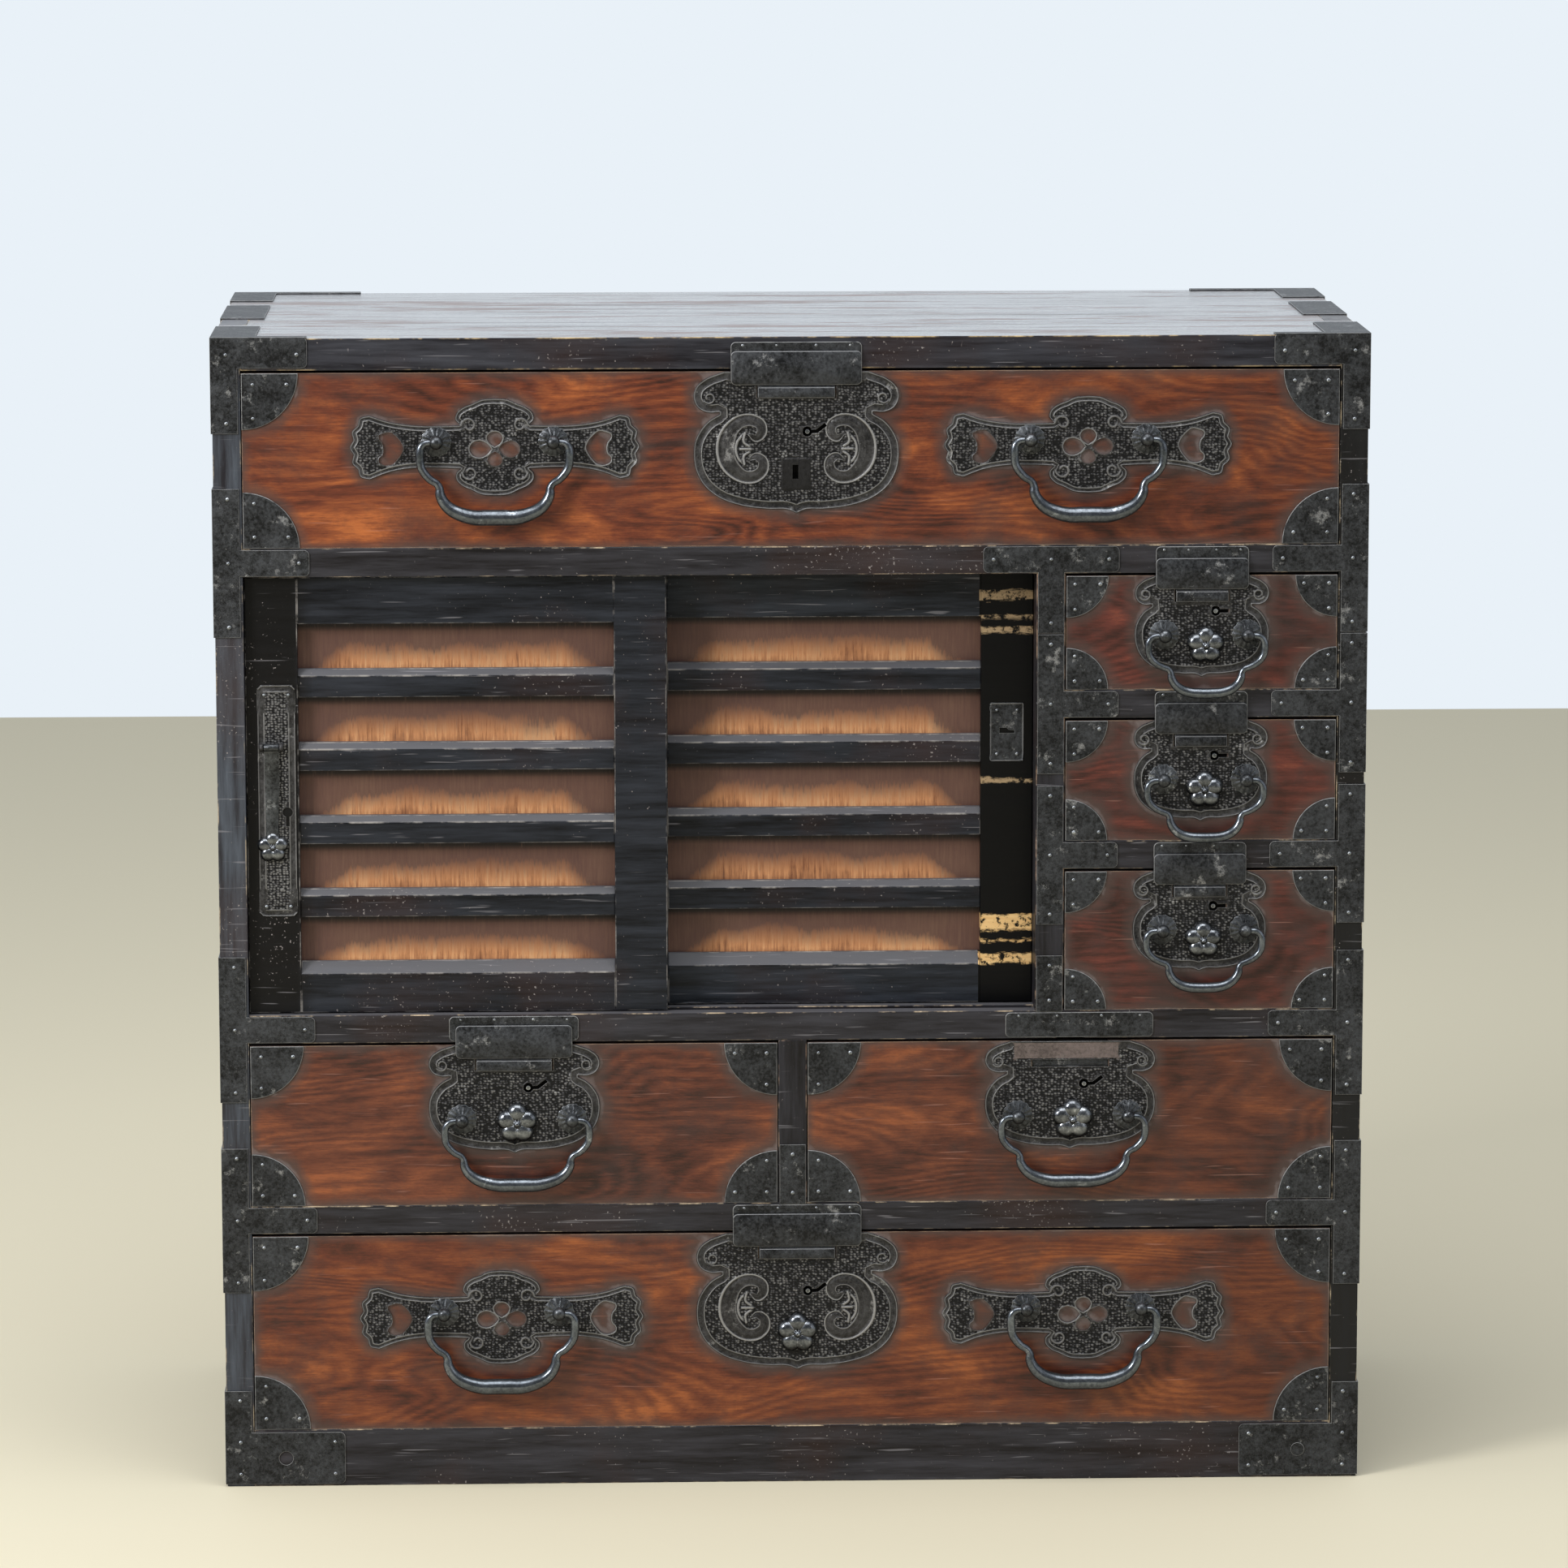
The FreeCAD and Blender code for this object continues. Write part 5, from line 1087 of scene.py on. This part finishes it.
def pull_plate(width=225.0, height=76.0, drop=1.5):
    """The pierced plate, in mm from its middle."""
    half_width, half_height = width / 2, height / 2
    runs = [smooth_line([(a * half_width, b * half_height) for a, b in run])[:-1]
            for run in pull_plate_shares]
    right = np.vstack(runs + [[(0.0, half_height)]])
    loops = [np.vstack([right, (right * (-1, 1))[::-1][1:-1]])]
    petal = petal_hole_shares + [(a, -b) for a, b in reversed(petal_hole_shares[:-1])]
    for side in (-1, 1):
        loops.append(smooth_line([(side * a * half_width, b * half_height) for a, b in bean_shares])[:-1])
        loops.append(smooth_line([(side * a * 19.5, b * 6.5 - drop) for a, b in petal])[:-1])
        loops.append(smooth_line([(b * 6.0, side * a * 13.5 - drop) for a, b in petal])[:-1])
    bands = []
    for side in (1, -1):
        bands.append((curl(side * 20.0, 17.0, 6.0, 2.6, 0.25 - side * 0.25, side * 0.9), low_ridge))
        bands.append((curl(side * 19.4, -20.0, 6.0, 2.6, 0.25 - side * 0.25, -side * 0.9), low_ridge))
    lip = [(0.0, 0.05), (0.25, 0.34), (0.9, 0.34), (1.3, -0.3), (999.0, -9.0)]
    return relief(loops, rim_profile(3.4, 0.6), lip, bands, 1.2, -0.5)


pull_part = pull_plate()
print("pull plate", len(pull_part[0]), len(pull_part[1]))

# %% [markdown]
# ## Posts, knobs and bolts
# A pull turns in two posts. Each has a fluted base, a stem and a ball with a cross hole. The knob that
# lifts the lock bolt is a plum blossom: five domed petals round a higher heart. Both are heights over
# a disc, so they are built ring by ring, with the flutes and petals as waves of the angle.

# %% Round parts seen from the front
PIN_PROUD = 10.5


def closed_rings(rows, sides):
    """Points listed ring after ring as a closed part, with a flat cap at each end."""
    last = len(rows) - sides
    faces = [[r + i, r + (i + 1) % sides, r + sides + (i + 1) % sides, r + sides + i]
             for r in range(0, last, sides) for i in range(sides)]
    return np.array(rows), faces + [list(range(sides)), list(range(last, len(rows)))], {}


def circle(radius, sides):
    """Points round a circle."""
    return [(radius * math.cos(a), radius * math.sin(a))
            for a in np.linspace(0, 2 * math.pi, sides, endpoint=False)]


def disc_part(x, z, back, radii, heights, sides=60, rings=8):
    """Rings of a round part: radii and heights are functions of (share 0 to 1, angle)."""
    shares = np.linspace(0, 1, rings + 1)[1:]
    angles = np.linspace(0, 2 * math.pi, sides, endpoint=False)
    rows, faces = [(x, back + heights(0.0, 0.0), z)], []
    for share in shares:
        for angle in angles:
            radius, proud = radii(share, angle), back + heights(share, angle)
            rows.append((x + radius * math.cos(angle), proud, z + radius * math.sin(angle)))
    for angle in angles:
        radius = radii(1.0, angle)
        rows.append((x + radius * math.cos(angle), back, z + radius * math.sin(angle)))
    rows.append((x, back, z))
    faces += [[0, 1 + i, 1 + (i + 1) % sides] for i in range(sides)]
    for ring in range(len(shares)):
        for i in range(sides):
            a, b = 1 + ring * sides + i, 1 + ring * sides + (i + 1) % sides
            faces.append([a, a + sides, b + sides, b])
    last = 1 + len(shares) * sides
    faces += [[last + (i + 1) % sides, last + i, len(rows) - 1] for i in range(sides)]
    return np.array(rows), faces, {}


def post(x, z):
    """A fluted base, a stem and a ball round the pin's axis, in mm."""
    base = disc_part(x, z, 1.0, lambda s, a: 11.6 * s * (1 + 0.035 * s * math.cos(14 * a)),
                     lambda s, a: 2.9 * (1 - s ** 2.2) * (1 - 0.22 * s * (1 - math.cos(14 * a))) + 0.35)
    turned = [(4.2, -8.5), (4.0, -4.5), (4.6, -3.9), (5.4, -1.9), (5.5, 0.0), (5.1, 2.1), (3.9, 3.9),
              (2.0, 5.1)]
    rows = [(x + a, PIN_PROUD + out, z + b) for radius, out in turned for a, b in circle(radius, 24)]
    return [base, closed_rings(rows, 24)]


def blossom(x, z, radius, back, tall):
    """Five domed petals, each a round cushion of its own, and a higher heart, in mm."""
    petal, ring, heart = 0.50 * radius, 0.53 * radius, 0.23 * radius

    def turned(a):
        return (a - math.pi / 2 + math.pi / 5) % (2 * math.pi / 5) - math.pi / 5

    def radii(s, a):
        return s * (ring * math.cos(turned(a)) + math.sqrt(petal ** 2 - (ring * math.sin(turned(a))) ** 2))

    def heights(s, a):
        out = radii(s, a)
        off = math.hypot(out * math.cos(turned(a)) - ring, out * math.sin(turned(a)))
        cushion = 0.74 * tall * math.sqrt(max(1 - (off / petal) ** 2.6, 0.0))
        middle = tall * math.sqrt(max(1 - (out / heart) ** 2.4, 0.0))
        return max(cushion, middle, 0.16 * tall)
    return disc_part(x, z, back, radii, heights, 100, 16)


def rounded_plate(x0, x1, z0, z1, back, face, corner, soft):
    """A flat plate with round corners and a soft front edge, in mm."""
    rows, steps = [], 6
    rings = [(0.0, back), (0.0, face - soft), (soft * 0.3, face - soft * 0.3), (soft, face)]
    for inset, proud in rings:
        radius = max(corner - inset, 0.05)
        for cx, cz, first in ((x1 - corner, z1 - corner, 0), (x0 + corner, z1 - corner, 90),
                              (x0 + corner, z0 + corner, 180), (x1 - corner, z0 + corner, 270)):
            for k in range(steps + 1):
                a = math.radians(first + 90 * k / steps)
                rows.append((cx + radius * math.cos(a), proud, cz + radius * math.sin(a)))
    count = len(rows) // len(rings)
    rows, faces, _ = closed_rings(rows, count)
    rise = np.zeros(len(rows))
    rise[2 * count:3 * count] = 0.45
    return rows, faces, {"rise": rise}


# %% Lock plates, pull plates, posts and bolts of every drawer
TAB_LOW = 20.5
BOLT_BACK = -5.8

for name, kind in drawers.items():
    low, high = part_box(name + "_front")
    middle = (low.x + high.x) / 2 / MM + (3.5 if kind == "big" else 0.0)
    top, size = high.z / MM, lock_sizes[kind]
    metal_piece(name + "_lock_plate", name, [shifted(odd_locks.get(name, lock_kinds[kind]), middle, top)],
                plate_iron, [name + "_irons"])
    if kind == "big":
        centres = [(side * 231.0, low.z / MM + 0.575 * (high.z - low.z) / MM) for side in (-1, 1)]
        metal_piece(name + "_pull_plates", name, [shifted(pull_part, x, z) for x, z in centres], plate_iron,
                    [name + "_irons"])
    parts = [part for x, z in posts_at[name] for part in post(x / MM, z / MM)]
    metal_piece(name + "_posts", name, parts, post_iron, [name + "_irons"])
    hasped = name != "right_half_drawer"
    knob_x, knob_z = middle + size["shift"], top - size["knob_drop"]
    stem_low = knob_z - 6.0 if name != "top_drawer" else top - 68.0
    tab_left, tab_right = middle - size["tab"] / 2, middle + size["tab"] / 2
    tab_top, tab_face = (top - 10.7, 1.6) if hasped else (top - 10.5, -0.65)
    bolt = [rounded_plate(tab_left, tab_right, top - TAB_LOW, tab_top, BOLT_BACK, tab_face, 0.8, 0.3),
            rounded_plate(middle - 10, middle + 10, top - TAB_LOW, top - 1.0, BOLT_BACK, -0.8, 0.5, 0.3),
            rounded_plate(knob_x - 5, knob_x + 5, stem_low, top - 15.5, BOLT_BACK, -0.8, 0.5, 0.3)]
    if hasped:
        hasp_left, hasp_right = middle - size["hasp"] / 2, middle + size["hasp"] / 2
        bolt += [rounded_plate(tab_left, tab_right, top - TAB_LOW, top - 12.2, 0.5, 4.2, 0.8, 0.7),
                 rounded_plate(hasp_left, hasp_right, top - 10.5, top + 2.0 + size["rise"], 1.8, 3.4,
                               4.0, 0.8)]
    metal_piece(name + "_bolt", name + "_lock_bolt", bolt, mount_iron, [name + "_lock_bolt"])
    if name != "top_drawer":
        knob = [blossom(knob_x, knob_z, size["knob"], 1.8, 7.5),
                disc_part(knob_x, knob_z, -2.0, lambda s, a: 3.0 * s, lambda s, a: 5.0, 16)]
        metal_piece(name + "_knob", name + "_lock_bolt", knob, knob_iron, [name + "_lock_bolt"])
print("drawer irons", len(drawers))

# %% [markdown]
# ## Dust round the irons
# Polish and dust gather where a cloth can't reach: round every iron and along the edges of a front.
# The mark "dust" holds how close each point of a front is to them.

# %% Write the dust on the fronts
DUST_REACH = 13 * MM
DUST_EDGE = 9 * MM
for name, piece in front_pieces.items():
    near = [v.co for other in bpy.context.scene.objects if other.name.startswith(name + "_")
            and other.name.endswith(("_lock_plate", "_pull_plates", "_corner_plates", "_posts"))
            for v in other.data.vertices]
    tree = kdtree.KDTree(len(near))
    for number, place in enumerate(near):
        tree.insert((place.x, 0, place.z), number)
    tree.balance()
    low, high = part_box(name + "_front")
    dust = []
    for v in piece.data.vertices:
        away = tree.find((v.co.x, 0, v.co.z))[2]
        edge = min(v.co.x - low.x, high.x - v.co.x, v.co.z - low.z, high.z - v.co.z)
        dust.append(max(1 - away / DUST_REACH, 0.85 * (1 - edge / DUST_EDGE), 0.0))
    layer = piece.data.attributes.new("dust", "FLOAT", "POINT")
    layer.data.foreach_set("value", np.array(dust, np.float32))
print("dust on", len(front_pieces), "fronts")

# %% [markdown]
# ## The drop pulls
# A pull is one forged bar: a thin pin at each end turns in a post, the limb swings out and down, and
# after a sharp notch the bar thickens to the grip. Its middle line and thickness are a table, and
# Geometry Nodes sweep a circle along it, so a change of the table reshapes all nine pulls.

# %% Pulls by Geometry Nodes
bail_limb_shares = [(1.0, 0.24, 0.52), (0.985, 0.33, 0.52), (0.94, 0.41, 0.52), (0.865, 0.49, 0.50),
                    (0.765, 0.56, 0.47), (0.745, 0.60, 0.50), (0.735, 0.69, 0.62), (0.69, 0.79, 0.70),
                    (0.59, 0.89, 0.80), (0.44, 0.96, 0.88), (0.26, 1.0, 0.96), (0.10, 1.0, 1.0)]
small_bail_limb_shares = [(1.0, 0.22, 0.68), (0.985, 0.32, 0.68), (0.935, 0.41, 0.66), (0.85, 0.485, 0.64),
                          (0.74, 0.545, 0.60), (0.645, 0.585, 0.58), (0.615, 0.63, 0.62),
                          (0.60, 0.72, 0.76), (0.545, 0.83, 0.84), (0.43, 0.93, 0.90),
                          (0.27, 0.985, 0.96), (0.09, 1.0, 1.0)]


def bar_tree():
    """Node group: a round bar along a chain of points that know their own radius."""
    tree, given = empty_group("forged_bar", {"Thickness": ("Float", 1.0), "Sides": ("Int", 20),
                                             "Finish": ("Material", pull_steel)})
    line = node(tree, "GeometryNodeMeshToCurve", {"Mesh": given["Geometry"]})
    thick = node(tree, "GeometryNodeInputNamedAttribute", {"Name": "thick"}, data_type="FLOAT")
    radius = node(tree, "ShaderNodeMath", {0: thick, 1: given["Thickness"]}, operation="MULTIPLY")
    profile = node(tree, "GeometryNodeCurvePrimitiveCircle", {"Resolution": given["Sides"], "Radius": 1.0})
    bar = node(tree, "GeometryNodeCurveToMesh", {"Curve": line, "Profile Curve": profile, "Scale": radius,
                                                 "Fill Caps": True})
    real = node(tree, "GeometryNodeRealizeInstances", {"Geometry": bar})
    dressed = node(tree, "GeometryNodeSetMaterial", {"Geometry": real, "Material": given["Finish"]})
    node(tree, "NodeGroupOutput", {"Geometry": dressed})
    return tree


def pull_line(spacing, width, drop, bar, limb_shares, pin=2.5, eye=5.5):
    """The middle line of a pull as rows (x, z, radius) in mm from the middle between its posts."""
    limb = bar * limb_shares[0][2]
    reach, depth, start = width / 2 - limb, drop - bar, spacing / 2 + eye + 0.6
    bend = reach - start
    half = [(spacing / 2 - 0.82 * eye, 0.0, pin), (start - 0.6, 0.0, pin)]
    for turn in (15, 30, 45, 60, 75, 90):
        a = math.radians(turn)
        half.append((start + bend * math.sin(a), bend * (math.cos(a) - 1), pin + (limb - pin) * turn / 90))
    half += [(a * reach, -b * depth, c * bar) for a, b, c in limb_shares if b * depth > bend]
    return smooth_line(half + [(-x, z, r) for x, z, r in reversed(half)], 1.0)


bar_group = bar_tree()
pull_sizes = {"big": (91.0, 122.5, 65.0, 6.4, bail_limb_shares),
              "half": (87.0, 119.5, 57.0, 5.6, bail_limb_shares),
              "small": (65.0, 97.0, 49.5, 4.2, small_bail_limb_shares)}


def pull(name, kind, x, z):
    """One pull that hangs from posts whose middle is at (x, z) in mm."""
    line = pull_line(*pull_sizes[kind])
    line[:, 2] = np.minimum(line[:, 2], 0.99 * pull_sizes[kind][3])
    chain = bpy.data.meshes.new(name)
    chain.from_pydata([((x + px) * MM, front_y - PIN_PROUD * MM, (z + pz) * MM) for px, pz, _ in line],
                      [(i, i + 1) for i in range(len(line) - 1)], [])
    thick = chain.attributes.new("thick", "FLOAT", "POINT")
    thick.data.foreach_set("value", (line[:, 2] * MM).astype(np.float32))
    mesh = grown(bar_group, chain, {"Thickness": 1.0, "Sides": 20, "Finish": pull_steel})
    return place_piece(mesh, name + "_forged", name, pull_steel, [name], 60)


for name, kind in drawers.items():
    posts = sorted(posts_at[name])
    pairs = [posts[:2], posts[2:]] if kind == "big" else [posts]
    words = ["_left_bail", "_right_bail"] if kind == "big" else ["_bail"]
    for word, pair in zip(words, pairs):
        pull(name + word, kind, (pair[0][0] + pair[1][0]) / 2 / MM, (pair[0][1] + pair[1][1]) / 2 / MM)
print("pulls", sum(2 if kind == "big" else 1 for kind in drawers.values()))

# %% [markdown]
# ## Irons of the doors
# The left door is locked by a hinged hasp: a narrow bar with a knuckle above and a blossom below, on a
# long plate with a key hole. The right door has only a small plate round its key hole.

# %% The plates of the doors
def square_plate(x0, x1, z0, z1, hole, border, corner, back, thick, smooth=()):
    """A rectangular plate with cut corners and the same rim as the others, in mm."""
    cut = [(x0 + corner, z0), (x1 - corner, z0), (x1, z0 + corner), (x1, z1 - corner), (x1 - corner, z1),
           (x0 + corner, z1), (x0, z1 - corner), (x0, z0 + corner)]
    dense = np.vstack([np.linspace(a, b, 9, endpoint=False) for a, b in zip(cut, cut[1:] + cut[:1])])
    return relief([dense, hole], rim_profile(border, 0.8, 0.3), hole_edge, [], back + thick - 0.35, back,
                  smooth=smooth)


def rod(x0, x1, proud, z, radius, sides=24):
    """A round rod across the front, in mm."""
    soft = [(x0, radius - 0.5), (x0 + 0.5, radius), (x1 - 0.5, radius), (x1, radius - 0.5)]
    return closed_rings([(x, proud + a, z + b) for x, r in soft for a, b in circle(r, sides)], sides)


def shaped_bar(x, back, stations):
    """A bar hanging down the front: stations are (z, width, front) in mm."""
    rows = [(x + a * width / 2 + b, p, z) for z, width, front in stations
            for a, b, p in ((-1, 0, back), (-1, 0, front - 0.9), (-1, 0.9, front - 0.2), (0, 0, front),
                            (1, -0.9, front - 0.2), (1, 0, front - 0.9), (1, 0, back))]
    return closed_rings(rows, 7)


def plate_box(name):
    """Left, right, foot, top and back of a measured plate, in mm as seen from the front."""
    low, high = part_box(name)
    return low.x / MM, high.x / MM, low.z / MM, high.z / MM, (front_y - high.y) / MM


x0, x1, z0, z1, plate_back = plate_box("left_door_lock_plate")
pin_x, pin_z = (x0 + x1) / 2 - 4.0, z1 - 49.0
slot_down = key_hole(0, 0, False)
slot_down = np.column_stack([slot_down[:, 1], -slot_down[:, 0]]) + (x1 - 7.0, z1 - 101.0)
parts = [square_plate(x0, x1, z0, z1, slot_down, 5.0, 3.0, plate_back, 1.5)]
for side in (-1, 1):
    a, b = sorted((pin_x + side * 6.3, pin_x + side * 9.3))
    parts += [rod(a, b, plate_back + 5.1, pin_z, 3.3),
              rounded_plate(a, b, pin_z - 3.2, pin_z + 3.2, plate_back + 1.0, plate_back + 5.1, 0.6, 0.3)]
metal_piece("left_door_lock_plate_punched", "left_door", parts, plate_iron, ["left_door_lock_plate"])
nails("left_door_lock_nails", "left_door",
      [((x0 + a) * MM, z * MM) for a in (5.5, 24.5) for z in (z0 + 8, z1 - 8)], [plate_back + 1.3] * 4, 1.5)

bar_back = plate_back + 1.8
hasp = [rod(pin_x - 6.0, pin_x + 6.0, plate_back + 5.1, pin_z, 3.2),
        shaped_bar(pin_x, bar_back, [(pin_z + 1, 10.5, bar_back + 4.6), (pin_z - 5, 11.5, bar_back + 3.0),
                                     (pin_z - 30, 11.5, bar_back + 2.6), (pin_z - 48, 10.0, bar_back + 2.5),
                                     (pin_z - 62, 9.0, bar_back + 2.8), (pin_z - 72, 10.0, bar_back + 3.0)])]
metal_piece("left_door_hasp_bar", "left_door_hasp", hasp, post_iron, ["left_door_hasp"])
metal_piece("left_door_hasp_blossom", "left_door_hasp", [blossom(pin_x, pin_z - 79.5, 12.0, bar_back, 6.0)],
            knob_iron, ["left_door_hasp"])

x0, x1, z0, z1, plate_back = plate_box("right_door_key_plate")
middle, key_z = (x0 + x1) / 2, (z0 + z1) / 2
slot_across = np.array([(-6.0, -0.8), (6.0, -0.8), (6.0, 1.4), (1.5, 1.8), (-0.5, 3.6), (-6.0, 3.6)])
slot_across += (middle, key_z)
metal_piece("right_door_key_plate_rimmed", "right_door",
            [square_plate(x0, x1, z0, z1, slot_across, 1.6, 1.0, plate_back, 1.0,
                          [(x0 + 1.5, x1 - 1.5, z0 + 1.5, z1 - 1.5, 0.0)])], mount_iron,
            ["right_door_key_plate"])
nails("right_door_key_nails", "right_door",
      [((x0 + a) * MM, z * MM) for a in (5.5, 21.5) for z in (z0 + 6, z1 - 6)], [plate_back + 0.6] * 4, 1.5)
print("door irons at", round(pin_x, 1), round(pin_z, 1), "key plate at", round(middle, 1))

# %% [markdown]
# ## Light, floor and camera
# The light is a plain studio light: an even pale surround, one broad lamp from the upper left in
# front, which puts the shadows of the pulls to the lower right, a weak one from the right, and one
# overhead for the floor. The camera sees the surround as a pale wall. Reflections see it too, but
# darker on the side of the open room in front of the chest, as lacquer and iron do in a real room.
# The camera's lens, place and turn were solved from seven corners of the chest in the photograph.

# %% Light, floor and camera
def lamp(name, place, aim, size, power):
    """A square lamp that faces a point."""
    data = bpy.data.lights.new(name, "AREA")
    data.size = size
    data.energy = power
    made = bpy.data.objects.new(name, data)
    made.location = place
    made.rotation_euler = (Vector(aim) - Vector(place)).to_track_quat("-Z", "Y").to_euler()
    bpy.context.scene.collection.objects.link(made)


lamp("key_lamp", (-2.8, -2.3, 2.3), (0, 0, 0.5), 1.1, 108)
lamp("fill_lamp", (3.0, -3.0, 1.8), (0, 0, 0.45), 2.2, 11)
lamp("overhead_lamp", (0.0, -1.2, 3.8), (0, 0, 0.0), 3.0, 85)

world = bpy.data.worlds.new("pale_surround")
world.use_nodes = True
bpy.context.scene.world = world
sky = world.node_tree
sky.nodes.clear()
ray = node(sky, "ShaderNodeLightPath")
seen = node(sky, "ShaderNodeTexCoord").outputs["Generated"]
toward = node(sky, "ShaderNodeSeparateXYZ", {"Vector": seen})
room = node(sky, "ShaderNodeMapRange", {"Value": toward.outputs["Y"], "From Min": -0.75, "From Max": 0.25,
                                        "To Min": 0.14, "To Max": 1.0})
shine = node(sky, "ShaderNodeMath", {0: ray.outputs["Is Glossy Ray"],
                                     1: ray.outputs["Is Transmission Ray"]}, operation="MAXIMUM")
level = node(sky, "ShaderNodeMix", {0: shine, 2: 0.60, 3: room}, data_type="FLOAT")
level = node(sky, "ShaderNodeMix", {0: ray.outputs["Is Camera Ray"], 2: level, 3: 1.0}, data_type="FLOAT")
surround = node(sky, "ShaderNodeBackground", {"Color": "#e9f1f8", "Strength": level})
node(sky, "ShaderNodeOutputWorld", {"Surface": surround})

floor_finish = Finish("floor_pale_matt", Base_Color="#d6cdb4", Roughness=0.8).made
floor_mesh = bpy.data.meshes.new("floor")
left, right, near, far = -9, 9, -9, 3.95
floor_mesh.from_pydata([(left, near, 0), (right, near, 0), (right, far, 0), (left, far, 0)], [],
                       [(0, 1, 2, 3)])
floor_mesh.materials.append(floor_finish)
floor = bpy.data.objects.new("floor", floor_mesh)
bpy.context.scene.collection.objects.link(floor)

camera_data = bpy.data.cameras.new("camera")
camera_data.lens = 155.4
camera_data.sensor_width = 36.0
camera = bpy.data.objects.new("camera", camera_data)
camera.location = (-0.171, front_y - 5.240, 1.403)
camera.rotation_euler = (math.radians(80.90), math.radians(0.07), math.radians(-1.81))
bpy.context.scene.collection.objects.link(camera)
bpy.context.scene.camera = camera
bpy.context.scene.view_settings.view_transform = "Standard"
